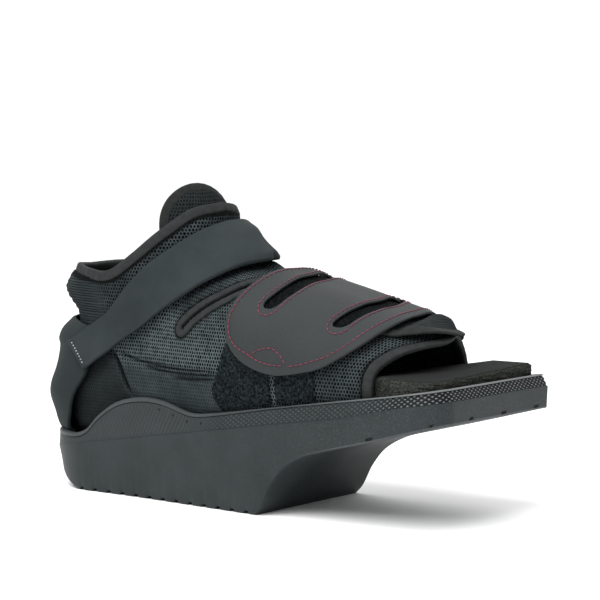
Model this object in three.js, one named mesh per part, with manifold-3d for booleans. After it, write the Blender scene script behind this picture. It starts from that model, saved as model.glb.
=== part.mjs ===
// Postoperative shoe for a right foot. A wedge sole, cut away under the toes, carries a foam footbed
// and a padded mesh upper that is closed by a broad forefoot flap and an ankle strap.
// Millimetres. x runs from the back of the heel to the toe, y towards the big toe, z up from the floor.
import * as THREE from "three";
import { mergeVertices } from "three/addons/utils/BufferGeometryUtils.js";
import Module from "manifold-3d";

const wasm = await Module();
wasm.setup();

// Driving dimensions
const GAP = 0.3; // clearance between pieces that are sewn or seated together
const ORIGIN_X = 90; // the middle of the block's ground contact, measured from the heel
const HEEL_BACK = -2;
const TOE_FRONT = 277.5;
const SOLE_HEEL = { x: 40, radius: 42 };
const TOE_CORNER = { lateral: 18, medial: 6 };
const SOLE_DRAFT = 2.2; // how far the sole's wall leans in, at the rim and at the floor
const RIM_LIP = 1; // round of the rim's outer edge
const CUP_INSET = 5; // from the sole's outline to the wall of the cup that the upper stands in
const CUP_FLOOR = { atHeel: 26, slope: 0.155 };
const ROCKER = { height: 20, end: 32, power: 2.2 }; // the heel's rounded back edge
const FACET = { atHeel: 20.5, slope: 0.156 }; // crease along the sole's side wall
const TREAD = { first: 36, last: 156, pitch: 10, half: 1.9, slant: 0.8, depth: 1.5 };

const WALL = 3; // padded mesh of the upper
const HEEL_X = 38; // centre of the round heel of the foot
const INSTEP_ROUND = 40;
const TUCK = { depth: 6, height: 12 }; // the upper draws in towards its bottom edge
const ANKLE_X = 56; // axis that the ankle's pieces are drawn around
const BINDING = { width: 5.8, proud: 0.4 };
const STRAP = 2.4;
const STRAP_LIFT = 1.5; // least space between the ankle strap and the upper
const FLAP = 1.6;
const LOOP = 0.9; // hook-and-loop cloth
const TONGUE = 2.5;

const LAYER = { cloth: 0.8, backing: 2.85, flap: 4.6 }; // undersides above the upper's face

// Sole: half widths of its outline
const SOLE_OUTLINE = [
  { x: 40, lateral: 42, medial: 42 },
  { x: 74, lateral: 42.5, medial: 41.5 },
  { x: 130, lateral: 46.5, medial: 43 },
  { x: 161, lateral: 48.8, medial: 45.4 },
  { x: 204, lateral: 51, medial: 49.6 },
  { x: 245, lateral: 53.5, medial: 52.5 },
  { x: 277, lateral: 54, medial: 53 },
];

// Sole: height of the rim, low behind the heel and humped beside it
const SOLE_RIM = [
  { x: -2, z: 31 },
  { x: 25, z: 31 },
  { x: 32, z: 31.5 },
  { x: 40, z: 34.5 },
  { x: 48, z: 42 },
  { x: 62, z: 50.5 },
  { x: 80, z: 54.3 },
  { x: 96, z: 53.5 },
  { x: 116, z: 49 },
  { x: 130, z: 49.8 },
  { x: 173, z: 56.4 },
  { x: 255, z: 68.8 },
  { x: 277, z: 72 },
];

// Sole: underside in front of the block, swept up to the thin toe plate
const SOLE_CUT = [
  { x: 162, z: 0 },
  { x: 166, z: 4.5 },
  { x: 172, z: 15.8 },
  { x: 180, z: 25.4 },
  { x: 192, z: 32.4 },
  { x: 205, z: 36.3 },
  { x: 232, z: 42.9 },
  { x: 277, z: 54.5 },
];

// Foot: half widths and top of the part that lies in the shoe
const FOOT = [
  { x: 38, lateral: 35, medial: 35, top: 92 },
  { x: 75, lateral: 38, medial: 37, top: 98 },
  { x: 110, lateral: 42, medial: 39, top: 116 },
  { x: 135, lateral: 45, medial: 41, top: 123 },
  { x: 160, lateral: 47, medial: 44, top: 116.5 },
  { x: 200, lateral: 49, medial: 48, top: 105.8 },
  { x: 240, lateral: 50, medial: 50, top: 94.8 },
  { x: 266, lateral: 50, medial: 50, top: 86 },
];

// Ankle: back, front and half width at each height; the padded collar rolls out at the back
const ANKLE = [
  { z: 40, back: 12, front: 90, half: 28 },
  { z: 80, back: 7.5, front: 104, half: 32 },
  { z: 95, back: 8, front: 108, half: 34 },
  { z: 108, back: -1.6, front: 111, half: 36 },
  { z: 116, back: 2, front: 111, half: 36.5 },
  { z: 122, back: 8, front: 111, half: 36.5 },
  { z: 140, back: 14, front: 110, half: 36 },
  { z: 155, back: 18, front: 105, half: 35 },
  { z: 172, back: 22, front: 93, half: 34 },
];

// Collar: height of the upper's top edge, by the angle from the front of the ankle
const COLLAR = [
  { turn: 0, z: 158.4 },
  { turn: 25, z: 155 },
  { turn: 45, z: 144.7 },
  { turn: 70, z: 130.7 },
  { turn: 95, z: 121.3 },
  { turn: 125, z: 121.8 },
  { turn: 150, z: 123.5 },
  { turn: 180, z: 122.5 },
];

// Tongue: a tab with a rounded top, set a little to the lateral side of the ankle's front
const TONGUE_TAB = { turn: -8, half: 30, shoulder: 146, top: 171, foot: 130, tapeFoot: 134, power: 2.1, radius: 42 };

// Ankle strap: its two edges on the lateral side, from the stitched end to the front of the ankle, where
// the lower edge stands off the instep
const ANKLE_STRAP = [
  { upperTurn: -138, upperZ: 80.5, lowerTurn: -117.5, lowerZ: 65, stand: 0 },
  { upperTurn: -115, upperZ: 91, lowerTurn: -103, lowerZ: 71.5, stand: 0 },
  { upperTurn: -92, upperZ: 100, lowerTurn: -88, lowerZ: 80.5, stand: 0 },
  { upperTurn: -71, upperZ: 114, lowerTurn: -71, lowerZ: 87, stand: 0 },
  { upperTurn: -55, upperZ: 124.6, lowerTurn: -55, lowerZ: 93, stand: 0.3 },
  { upperTurn: -41, upperZ: 132.8, lowerTurn: -40, lowerZ: 101.5, stand: 1.2 },
  { upperTurn: -24, upperZ: 142.1, lowerTurn: -26, lowerZ: 113, stand: 1.6 },
  { upperTurn: -10, upperZ: 146.8, lowerTurn: -13, lowerZ: 122, stand: 2 },
  { upperTurn: 0, upperZ: 147.8, lowerTurn: 0, lowerZ: 124.6, stand: 2 },
];

// Heel strap: the turn of its front edges, and how far it stands off the upper, by height
const HEEL_STRAP = [
  { z: 28, edge: 144, lift: 0.6 },
  { z: 33, edge: 141, lift: 0.8 },
  { z: 37, edge: 138, lift: 3.6 },
  { z: 42, edge: 134, lift: 6.3 },
  { z: 52, edge: 127, lift: 9.8 },
  { z: 63, edge: 119.5, lift: 7.5 },
  { z: 74, edge: 117, lift: 5.6 },
  { z: 82, edge: 117, lift: 4.6 },
  { z: 94, edge: 117, lift: 1.4 },
];
const HEEL_STRAP_EDGE = { topSide: 89, topBack: 94, footSide: 31.6, footBack: 28.4 };

// Forefoot flap: where its rear and front edges lie, by the turn from the top of the foot
const FOREFOOT_FLAP = [
  { turn: -85, rear: 173, front: 188 },
  { turn: -82, rear: 163, front: 202.7 },
  { turn: -75.5, rear: 154, front: 214.3 },
  { turn: -65, rear: 146.3, front: 224.2 },
  { turn: -53, rear: 143.3, front: 229.2 },
  { turn: -43, rear: 144.6, front: 231.3 },
  { turn: -30, rear: 148.3, front: 232 },
  { turn: -12, rear: 151, front: 230.3 },
  { turn: 15, rear: 152, front: 228.3 },
  { turn: 36, rear: 152.5, front: 225.5 },
  { turn: 56, rear: 153.5, front: 221 },
  { turn: 80, rear: 154.5, front: 217 },
];
const FLAP_HUG = { start: 55, end: 88, lift: 1.3 }; // turns between which the flap settles onto the upper's inner side
const BACKING = { firstTurn: -83, lastTurn: 34, margin: 1.2 };

// Two slots through the forefoot flap
const FLAP_SLOTS = [
  [
    { turn: -43.5, x: 166 },
    { turn: -33, x: 168.7 },
    { turn: -20, x: 169.4 },
    { turn: 0, x: 167.7 },
    { turn: 22, x: 163.5 },
  ],
  [
    { turn: -50, x: 208 },
    { turn: -40, x: 210.2 },
    { turn: -28, x: 212 },
    { turn: 0, x: 211 },
    { turn: 22, x: 207.5 },
  ],
];
const SLOT_HALF = 4.4;

// Slit in the upper between ankle and forefoot, with a taped edge
const SLIT = [
  { x: 107.5, turn: -50.5 },
  { x: 113, turn: -45.5 },
  { x: 122, turn: -41 },
  { x: 133, turn: -36.5 },
  { x: 140, turn: -31.5 },
  { x: 147, turn: -24.5 },
];
const SLIT_TAPE = { open: 1.2, width: 5.2 };

// Toe opening and the inner cover that overlaps it
const TOE_EDGE = [
  { turn: -97, x: 233.5 },
  { turn: -80, x: 234 },
  { turn: -66, x: 240.5 },
  { turn: -50, x: 248.5 },
  { turn: -30, x: 252 },
  { turn: 0, x: 250.5 },
  { turn: 20, x: 248 },
  { turn: 40, x: 243 },
  { turn: 65, x: 236 },
  { turn: 97, x: 232.5 },
];
const COVER_FRONT = [
  { turn: -60, x: 250.5 },
  { turn: 0, x: 250 },
  { turn: 25, x: 249.5 },
  { turn: 40, x: 247 },
  { turn: 62, x: 236 },
];
const COVER = { rear: 176, lateral: -48, medial: 62, corner: 17, thickness: 1.2, tapeRear: 226 };
const COVER_CROWN = { x: 239.5, half: 7.5, height: 2.2 }; // swell of the cover in front of the flap
const COVER_REACH = 37; // from the forefoot's axis to the cover's outer edge
const LOOP_PATCHES = {
  loop_patch_rear: { rear: 132, front: 170 },
  loop_patch_front: { rear: 176.5, front: 200 },
};
const PATCH_TOP = -75;
const PATCH_LIFT = 0.6; // above the upper's face

// Footbed
const FOOTBED = { thickness: 13.2, toeTop: { lateral: 75.6, medial: 78.8 }, front: 271, edgeRound: 1.6, side: 10.3 };
const FOOTBED_SPREAD = { start: 240, end: 247, inset: 6.2 };

const MATERIAL = {
  sole: { color: 0x3c4141, roughness: 0.62 },
  footbed: { color: 0x2b2a27, roughness: 0.95 },
  mesh: { color: 0x2a2f2f, roughness: 0.9 },
  binding: { color: 0x353837, roughness: 0.8 },
  strap: { color: 0x3f4647, roughness: 0.7 },
  flap: { color: 0x4b514f, roughness: 0.65 },
  loop: { color: 0x1d2021, roughness: 1 },
};

const radians = THREE.MathUtils.degToRad;
const lerp = THREE.MathUtils.lerp;
const ease = THREE.MathUtils.smoothstep; // ease(value, start, end)
const vec = (x, y, z) => new THREE.Vector3(x, y, z);

/** Evenly spaced values from a to b, both included. */
const spread = (a, b, count) => Array.from({ length: count }, (_, i) => lerp(a, b, i / (count - 1)));

/** A smooth curve through a table: each gap is a cubic whose end slopes come from the neighbouring rows. */
function through(rows, along, column) {
  const x = rows.map((row) => row[along]);
  const y = rows.map((row) => row[column]);
  const end = x.length - 1;
  const slope = x.map((_, i) => {
    const a = Math.max(i - 1, 0);
    const b = Math.min(i + 1, end);
    return (y[b] - y[a]) / (x[b] - x[a]);
  });
  return (at) => {
    let i = 0;
    while (i < end - 1 && at > x[i + 1]) i++;
    const h = x[i + 1] - x[i];
    const t = THREE.MathUtils.clamp((at - x[i]) / h, 0, 1);
    const s = 1 - t;
    return (
      s * s * (1 + 2 * t) * y[i] +
      t * t * (1 + 2 * s) * y[i + 1] +
      t * s * h * (s * slope[i] - t * slope[i + 1])
    );
  };
}

// Solids from points and triangles

/** A geometry from points and triangles, turned so that its faces point out. */
function geometryOf(points, triangles) {
  const volume = triangles.reduce((sum, [a, b, c]) => {
    const cross = vec(0, 0, 0).crossVectors(points[b], points[c]);
    return sum + points[a].dot(cross);
  }, 0);
  const outward = volume > 0 ? triangles : triangles.map(([a, b, c]) => [a, c, b]);
  const geometry = new THREE.BufferGeometry().setFromPoints(points);
  geometry.setIndex(outward.flat());
  return geometry;
}

/** The two triangles of a four-sided face. */
const quad = (a, b, c, d) => [
  [a, b, c],
  [a, c, d],
];

/** A sheet with thickness: columns of places on the foot's surface, filled from `under` to `over` above them. */
function slab(columns, under, over, ring = false) {
  const rows = columns[0].length;
  const points = [];
  const triangles = [];
  const heightOf = (height, i, j) => (typeof height === "function" ? height(i, j) : height);
  columns.forEach((column, i) =>
    column.forEach(({ p, n }, j) => {
      points.push(p.clone().addScaledVector(n, heightOf(under, i, j)));
      points.push(p.clone().addScaledVector(n, heightOf(over, i, j)));
    }),
  );
  const count = columns.length;
  const index = (i, j, side) => 2 * ((i % count) * rows + j) + side;
  const lastColumn = ring ? count : count - 1;
  for (let i = 0; i < lastColumn; i++) {
    for (let j = 0; j < rows - 1; j++) {
      triangles.push(...quad(index(i, j, 1), index(i + 1, j, 1), index(i + 1, j + 1, 1), index(i, j + 1, 1)));
      triangles.push(...quad(index(i, j, 0), index(i, j + 1, 0), index(i + 1, j + 1, 0), index(i + 1, j, 0)));
    }
    triangles.push(...quad(index(i, 0, 0), index(i + 1, 0, 0), index(i + 1, 0, 1), index(i, 0, 1)));
    const top = rows - 1;
    triangles.push(...quad(index(i, top, 1), index(i + 1, top, 1), index(i + 1, top, 0), index(i, top, 0)));
  }
  if (!ring)
    for (let j = 0; j < rows - 1; j++) {
      const end = count - 1;
      triangles.push(...quad(index(0, j, 1), index(0, j + 1, 1), index(0, j + 1, 0), index(0, j, 0)));
      triangles.push(...quad(index(end, j, 0), index(end, j + 1, 0), index(end, j + 1, 1), index(end, j, 1)));
    }
  return geometryOf(points, triangles);
}

/** A solid inside a stack of loops. Each loop is two facing rows of points, and the end faces are ruled across. */
function stack(loops) {
  const half = loops[0].left.length;
  const size = 2 * half;
  const points = loops.flatMap(({ left, right }) => [...left, ...right.toReversed()]);
  const triangles = [];
  for (let k = 0; k < loops.length - 1; k++)
    for (let i = 0; i < size; i++) {
      const next = (i + 1) % size;
      triangles.push(...quad(k * size + i, k * size + next, (k + 1) * size + next, (k + 1) * size + i));
    }
  const top = (loops.length - 1) * size;
  for (let i = 0; i < half - 1; i++) {
    const across = size - 1 - i;
    triangles.push(...quad(i, across, across - 1, i + 1));
    triangles.push(...quad(top + i, top + i + 1, top + across - 1, top + across));
  }
  return geometryOf(points, triangles);
}

/** A section carried along an edge: each place has its point, its normal and the way out of the cloth. */
function bead(path, section, closed) {
  const size = section.length;
  const points = path.flatMap(({ p, n, out }) =>
    section.map(([along, above]) => p.clone().addScaledVector(out, along).addScaledVector(n, above)),
  );
  const triangles = [];
  const steps = closed ? path.length : path.length - 1;
  for (let i = 0; i < steps; i++)
    for (let k = 0; k < size; k++) {
      const a = i * size;
      const b = ((i + 1) % path.length) * size;
      const next = (k + 1) % size;
      triangles.push(...quad(a + k, a + next, b + next, b + k));
    }
  if (!closed)
    for (let k = 1; k < size - 1; k++) {
      const end = (path.length - 1) * size;
      triangles.push([0, k + 1, k], [end, end + k, end + k + 1]);
    }
  return geometryOf(points, triangles);
}

/** One solid with others cut out of it. */
function cut(geometry, cutters) {
  const solidOf = (source) => {
    const merged = mergeVertices(source, 1e-4);
    return new wasm.Manifold(
      new wasm.Mesh({
        numProp: 3,
        vertProperties: merged.attributes.position.array,
        triVerts: new Uint32Array(merged.index.array),
      }),
    );
  };
  const mesh = cutters.reduce((solid, cutter) => solid.subtract(solidOf(cutter)), solidOf(geometry)).getMesh();
  return new THREE.BufferGeometry()
    .setAttribute("position", new THREE.BufferAttribute(mesh.vertProperties, 3))
    .setIndex(new THREE.BufferAttribute(mesh.triVerts, 1));
}

// The foot, as a distance: negative inside the upper's outer face and positive outside

const footHalf = { lateral: through(FOOT, "x", "lateral"), medial: through(FOOT, "x", "medial") };
const footTop = through(FOOT, "x", "top");
const ankleBack = through(ANKLE, "z", "back");
const ankleFront = through(ANKLE, "z", "front");
const ankleHalf = through(ANKLE, "z", "half");
const cupFloor = (x) => CUP_FLOOR.atHeel + CUP_FLOOR.slope * x;

/** The lower foot is a rounded arch over its plan; the ankle is an oval shaft; a fillet joins them at the instep. */
function footDistance({ x, y, z }) {
  const lateral = footHalf.lateral(x);
  const medial = footHalf.medial(x);
  const tuck = TUCK.depth * Math.exp(-Math.max(z - cupFloor(x), 0) / TUCK.height);
  const sideways = y - (medial - lateral) / 2;
  const side = Math.hypot(Math.min(x - HEEL_X, 0), sideways) - ((lateral + medial) / 2 - tuck);
  const above = 0.97 * (z - footTop(x));
  const a = side + INSTEP_ROUND;
  const b = above + INSTEP_ROUND;
  const arch = Math.min(Math.max(a, b), 0) + Math.hypot(Math.max(a, 0), Math.max(b, 0)) - INSTEP_ROUND;

  const back = ankleBack(z);
  const front = ankleFront(z);
  const half = ankleHalf(z);
  const shaft = half * (Math.hypot((2 * x - back - front) / (front - back), y / half) - 1);

  const fillet = 6 + 22 * ease(x, 60, 110);
  const near = Math.max(fillet - Math.abs(arch - shaft), 0) / fillet;
  return Math.min(arch, shaft) - (near * near * fillet) / 4;
}

/** The direction straight out of the foot at a point. */
function outwardAt(p) {
  const step = 0.05;
  const slope = (dx, dy, dz) =>
    footDistance(vec(p.x + dx, p.y + dy, p.z + dz)) - footDistance(vec(p.x - dx, p.y - dy, p.z - dz));
  return vec(slope(step, 0, 0), slope(0, step, 0), slope(0, 0, step)).normalize();
}

/** Where a ray from inside the foot comes out, with the outward normal there. */
function comeOut(origin, direction) {
  const way = direction.clone().normalize();
  const at = (t) => origin.clone().addScaledVector(way, t);
  let far = 2;
  while (footDistance(at(far)) < 0) far += 2;
  let near = far - 2;
  for (let i = 0; i < 26; i++) {
    const middle = (near + far) / 2;
    if (footDistance(at(middle)) < 0) near = middle;
    else far = middle;
  }
  const p = at(far);
  return { p, n: outwardAt(p) };
}

/** A nearby point brought onto the foot's surface. */
function settle(point) {
  const p = point.clone();
  for (let i = 0; i < 8; i++) p.addScaledVector(outwardAt(p), -footDistance(p));
  return { p, n: outwardAt(p) };
}

/** A place on the ankle, by its turn from the front and its height. */
function onAnkle(turn, z) {
  const a = radians(turn);
  return comeOut(vec(ANKLE_X, 0, z), vec(Math.cos(a), Math.sin(a), 0));
}

/** A place on the forefoot, by its distance from the heel and its turn from the top towards the big toe. */
const vampAxis = (x) => Math.min(45 + 0.155 * x, 70);
function onVamp(x, turn) {
  const a = radians(turn);
  return comeOut(vec(x, 0, vampAxis(x)), vec(0, Math.sin(a), Math.cos(a)));
}

// Sole

const rimHeight = through(SOLE_RIM, "x", "z");
const cutHeight = through(SOLE_CUT, "x", "z");
const outlineHalf = { lateral: through(SOLE_OUTLINE, "x", "lateral"), medial: through(SOLE_OUTLINE, "x", "medial") };
const SIDE_SIGN = { lateral: -1, medial: 1 };

/** The x of a station on the sole's outline after the outline has moved in by `inset`. */
function stationX(x, inset) {
  const share = (x - HEEL_BACK) / (TOE_FRONT - HEEL_BACK);
  return lerp(HEEL_BACK + inset, TOE_FRONT - inset, share);
}

/** Half width of the sole's outline at x, moved in by `inset`: a round heel, easy sides and round toe corners. */
function soleHalf(x, side, inset) {
  const half = outlineHalf[side](x) - inset;
  const heel = SOLE_HEEL.radius - inset;
  if (x < SOLE_HEEL.x) return Math.sqrt(Math.max(heel ** 2 - (SOLE_HEEL.x - x) ** 2, 0));
  const corner = Math.max(TOE_CORNER[side] - inset, 3);
  const into = Math.max(x - (TOE_FRONT - inset - corner), 0);
  return half - corner + Math.sqrt(Math.max(corner ** 2 - into ** 2, 0));
}

/** Height of the sole's underside: heel rocker, ribbed block, then the sweep up to the toe plate. */
function underHeight(x) {
  if (x < ROCKER.end)
    return ROCKER.height * Math.pow((ROCKER.end - x) / (ROCKER.end - HEEL_BACK), ROCKER.power);
  return x > SOLE_CUT[0].x ? cutHeight(x) : 0;
}

/** The grooves across the block's underside, as the bars that cut them. */
function treadBars() {
  const count = Math.round((TREAD.last - TREAD.first) / TREAD.pitch) + 1;
  const floor = TREAD.half - TREAD.slant;
  const bar = (x) => {
    const side = (y) => [
      vec(x - TREAD.half - TREAD.slant, y, -TREAD.depth),
      vec(x - floor, y, TREAD.depth),
      vec(x + floor, y, TREAD.depth),
      vec(x + TREAD.half + TREAD.slant, y, -TREAD.depth),
    ];
    const reach = 2 * SOLE_HEEL.radius;
    return stack([-reach, reach].map((y) => ({ left: side(y).slice(0, 2), right: side(y).slice(2).toReversed() })));
  };
  return spread(TREAD.first, TREAD.last, count).map(bar);
}

const facetHeight = (x) => Math.max(FACET.atHeel + FACET.slope * x, underHeight(x) + 5);

/** Stations along the sole, close together where its outline or underside bends. */
function soleStations() {
  const heel = [6, 16, 26, 36, 46, 56, 66, 77].map((a) => SOLE_HEEL.x - SOLE_HEEL.radius * Math.cos(radians(a)));
  const sides = [36, 42, 48, 55, 62, 71, 80, 88, 97, 106, 116, 123, 131, 145, 156];
  const sweep = [162, 164, 167, 170, 174, 178, 183, 189, 196, 205];
  const plate = [218, 232, 245, 254];
  const corner = spread(8, 90, 7).map((a) => TOE_FRONT - TOE_CORNER.lateral * (1 - Math.sin(radians(a))));
  return [...heel, ...sides, ...sweep, ...plate, ...corner];
}

function soleLoop(stations, inset, height) {
  const row = (side) =>
    stations.map((station) => {
      const x = stationX(station, inset);
      return vec(x, SIDE_SIGN[side] * soleHalf(x, side, inset), height(x));
    });
  return { left: row("lateral"), right: row("medial") };
}

function makeSole() {
  const stations = soleStations();
  const loop = (inset, height) => soleLoop(stations, inset, height);
  const body = stack([
    loop(SOLE_DRAFT, underHeight),
    loop(SOLE_DRAFT / 2, (x) => underHeight(x) + 2),
    loop(0, facetHeight),
    loop(SOLE_DRAFT, (x) => rimHeight(x) - RIM_LIP),
    loop(SOLE_DRAFT + RIM_LIP, rimHeight),
    loop(CUP_INSET - RIM_LIP / 2, rimHeight),
    loop(CUP_INSET, cupFloor),
  ]);
  return cut(body, treadBars());
}

// Footbed

const footbedTop = (x, side) => Math.min(cupFloor(x) + FOOTBED.thickness, FOOTBED.toeTop[side]);

/** Half width of the footbed: inside the upper, then spread out to the sole's edge in front of it. */
function footbedHalf(x, side, inset) {
  const heel = footHalf[side](HEEL_X) - FOOTBED.side - inset;
  if (x < HEEL_X) return Math.sqrt(Math.max(heel ** 2 - (HEEL_X - x) ** 2, 0));
  const inUpper = footHalf[side](x) - FOOTBED.side - inset;
  const inFront = soleHalf(x, side, FOOTBED_SPREAD.inset + inset);
  return lerp(inUpper, inFront, ease(x, FOOTBED_SPREAD.start, FOOTBED_SPREAD.end));
}

function makeFootbed() {
  const heel = footHalf.lateral(HEEL_X) - FOOTBED.side;
  const round = [10, 25, 40, 55, 72, 90].map((a) => HEEL_X - heel * Math.cos(radians(a)));
  const sides = [...spread(70, 238, 7), 240, 242, 245, 248, 253];
  const nose = spread(20, 90, 5).map((a) => FOOTBED.front - 14 * (1 - Math.sin(radians(a))));
  const stations = [...round, ...sides, ...nose];
  const loop = (inset, height) => {
    const row = (side) =>
      stations.map((station) => {
        const x = THREE.MathUtils.clamp(station, HEEL_X - heel + 1.05 * inset + 0.3, FOOTBED.front - inset);
        return vec(x, SIDE_SIGN[side] * footbedHalf(x, side, inset), height(x, side));
      });
    return { left: row("lateral"), right: row("medial") };
  };
  return stack([
    loop(0, (x) => cupFloor(x) + GAP),
    loop(0, (x, side) => footbedTop(x, side) - FOOTBED.edgeRound),
    loop(FOOTBED.edgeRound, footbedTop),
  ]);
}

// Upper

const collarHeight = through(COLLAR, "turn", "z");

/** How much further a tape of some width reaches along a line that meets its edge at a slant. */
function slantReach(place, turn, line) {
  const before = place(turn - 1).p;
  const after = place(turn + 1).p;
  const along = after.sub(before).normalize().dot(line);
  return (BINDING.width + 4 * GAP) / Math.sqrt(1 - along ** 2);
}

/** How far forward the toe opening's edge reaches at a turn from the top of the foot. */
const toeEdgeX = through(TOE_EDGE, "turn", "x");
const TOE_LOWEST = TOE_EDGE.at(-1).turn;

const collarPlace = (turn) => onAnkle(turn, collarHeight(Math.abs(turn)));
const toePlace = (turn) => onVamp(toeEdgeX(turn), turn);

/** Rays that draw one line of the upper, from its bottom or toe edge (`low`) to the collar (`high`). */
function upperLine(share, sign) {
  const inEdge = BINDING.width + 1.5 * GAP;
  const low = {};
  let turn;
  if (share < 1) {
    const around = sign * TOE_LOWEST * share;
    const a = radians(around);
    const back = slantReach(toePlace, around, vec(1, 0, 0));
    const x = toeEdgeX(around) - back;
    low.origin = vec(x, 0, vampAxis(x));
    low.way = vec(0, Math.sin(a), Math.cos(a));
    turn = 35 * share;
  } else if (share < 2) {
    const x = lerp(toeEdgeX(sign * TOE_LOWEST) - inEdge, HEEL_X, share - 1);
    low.origin = vec(x, 0, cupFloor(x) + GAP);
    low.way = vec(0, sign, 0);
    turn = lerp(35, 125, share - 1);
  } else {
    const a = radians(lerp(90, 180, share - 2));
    const reach = 0.8 * footHalf.lateral(HEEL_X);
    low.origin = vec(HEEL_X, 0, cupFloor(HEEL_X + reach * Math.cos(a)) + GAP);
    low.way = vec(Math.cos(a), sign * Math.sin(a), 0);
    turn = lerp(125, 180, share - 2);
  }
  const a = radians(turn);
  const below = slantReach(collarPlace, turn, vec(0, 0, 1));
  const high = {
    origin: vec(ANKLE_X, 0, collarHeight(turn) - below),
    way: vec(Math.cos(a), sign * Math.sin(a), 0),
  };
  return (t) => {
    const origin = low.origin.clone().lerp(high.origin, t);
    const way = low.way.clone().lerp(high.way, t);
    return comeOut(origin, way);
  };
}

/** Both halves of the upper as one ring of lines: over the toe, along the side, round the heel and back. */
function makeUpper(slitCutter) {
  const shares = [...spread(0, 0.92, 9), ...spread(1, 1.95, 10), ...spread(2.05, 2.85, 5), 3];
  const line = (share, sign) => spread(0, 1, 11).map(upperLine(share, sign));
  const lateral = shares.map((share) => line(share, -1));
  const medial = shares.slice(1, -1).map((share) => line(share, 1));
  return cut(slab([...lateral, ...medial.toReversed()], -WALL, 0, true), [slitCutter]);
}

// Taped edges

/** The round-cornered section of a binding tape folded over a wall. */
function tapeSection(width, under, over) {
  const round = 1;
  return [
    [-width, under + round],
    [-width + round, under],
    [-round, under],
    [0, under + round],
    [0, over - round],
    [-round, over],
    [-width + round, over],
    [-width, over - round],
  ];
}

/** An edge path with the way out of the cloth at each place, square to the path and to the normal. */
function edgePath(places, closed, inside) {
  const count = places.length;
  return places.map(({ p, n }, i) => {
    const before = places[closed ? (i + count - 1) % count : Math.max(i - 1, 0)].p;
    const after = places[closed ? (i + 1) % count : Math.min(i + 1, count - 1)].p;
    const out = after.clone().sub(before).cross(n).normalize();
    if (out.dot(inside(p)) > 0) out.negate();
    return { p, n, out };
  });
}

const WALL_TAPE = tapeSection(BINDING.width, -WALL - BINDING.proud, BINDING.proud);

function makeCollarBinding() {
  const places = spread(-180, 180, 49).slice(1).map(collarPlace);
  return bead(edgePath(places, true, () => vec(0, 0, -1)), WALL_TAPE, true);
}

function makeToeBinding() {
  const places = spread(-TOE_LOWEST, TOE_LOWEST, 29).map(toePlace);
  const inside = () => vec(-1, 0, 0);
  return bead(edgePath(places, false, inside), WALL_TAPE, false);
}

// Slots: a long hole with round ends, laid on the foot along a line of places

function slotSides(centre, half) {
  const count = centre.length;
  const frame = centre.map(({ p, n }, i) => {
    const along = centre[Math.min(i + 1, count - 1)].p.clone().sub(centre[Math.max(i - 1, 0)].p).normalize();
    return { p, n, along, across: n.clone().cross(along).normalize() };
  });
  const end = (at, sign) =>
    [5, 30, 60, 90].map((a) => ({ at, shift: sign * half * Math.cos(radians(a)), reach: half * Math.sin(radians(a)) }));
  const samples = [
    ...end(frame[0], -1).map((row) => row),
    ...frame.slice(1, -1).map((at) => ({ at, shift: 0, reach: half })),
    ...end(frame[count - 1], 1).toReversed(),
  ];
  const side = (sign) =>
    samples.map(({ at, shift, reach }) =>
      settle(at.p.clone().addScaledVector(at.along, shift).addScaledVector(at.across, sign * reach)),
    );
  return { left: side(-1), right: side(1) };
}

/** The block that cuts such a slot through a sheet, from `under` to `over` above the foot. */
function slotCutter(centre, half, under, over) {
  const { left, right } = slotSides(centre, half);
  const lift = (places, height) => places.map(({ p, n }) => p.clone().addScaledVector(n, height));
  return stack([under, over].map((height) => ({ left: lift(left, height), right: lift(right, height) })));
}

const slitTurn = through(SLIT, "x", "turn");
const slitCentre = spread(SLIT[0].x, SLIT.at(-1).x, 10).map((x) => onVamp(x, slitTurn(x)));

function makeSlitBinding() {
  const { left, right } = slotSides(slitCentre, SLIT_TAPE.open);
  const middle = slitCentre[4].p;
  const places = [...left, ...right.toReversed()];
  const away = (p) => {
    const nearest = slitCentre.reduce((a, b) => (a.p.distanceTo(p) < b.p.distanceTo(p) ? a : b), { p: middle });
    return p.clone().sub(nearest.p);
  };
  const tape = tapeSection(SLIT_TAPE.width, -WALL - BINDING.proud, BINDING.proud);
  return bead(edgePath(places, true, away), tape, true);
}

// Tongue

const TONGUE_FACE = -WALL - BINDING.proud - 3 * GAP; // its outer face, behind the collar binding

/** A place on the tab, by its distance from the tab's middle line and its height. */
const onTongue = (aside, z) => {
  const { p, n } = onAnkle(TONGUE_TAB.turn + THREE.MathUtils.radToDeg(aside / TONGUE_TAB.radius), z);
  return { p: p.addScaledVector(n, TONGUE_FACE), n };
};

/** A superellipse: x from its angle, and y from x. */
const tabX = (a) => Math.sign(Math.cos(a)) * Math.pow(Math.abs(Math.cos(a)), 2 / TONGUE_TAB.power);
const tabY = (a) => Math.pow(Math.sin(a), 2 / TONGUE_TAB.power);

function makeTongue() {
  const inset = BINDING.width + 1.5 * GAP;
  const half = TONGUE_TAB.half - inset;
  const rise = TONGUE_TAB.top - TONGUE_TAB.shoulder - inset;
  const columns = spread(180, 0, 17).map((angle) => {
    const a = radians(angle);
    const top = TONGUE_TAB.shoulder + rise * tabY(a);
    return spread(TONGUE_TAB.foot, top, 7).map((z) => onTongue(half * tabX(a), z));
  });
  return slab(columns, -TONGUE, 0);
}

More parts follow.
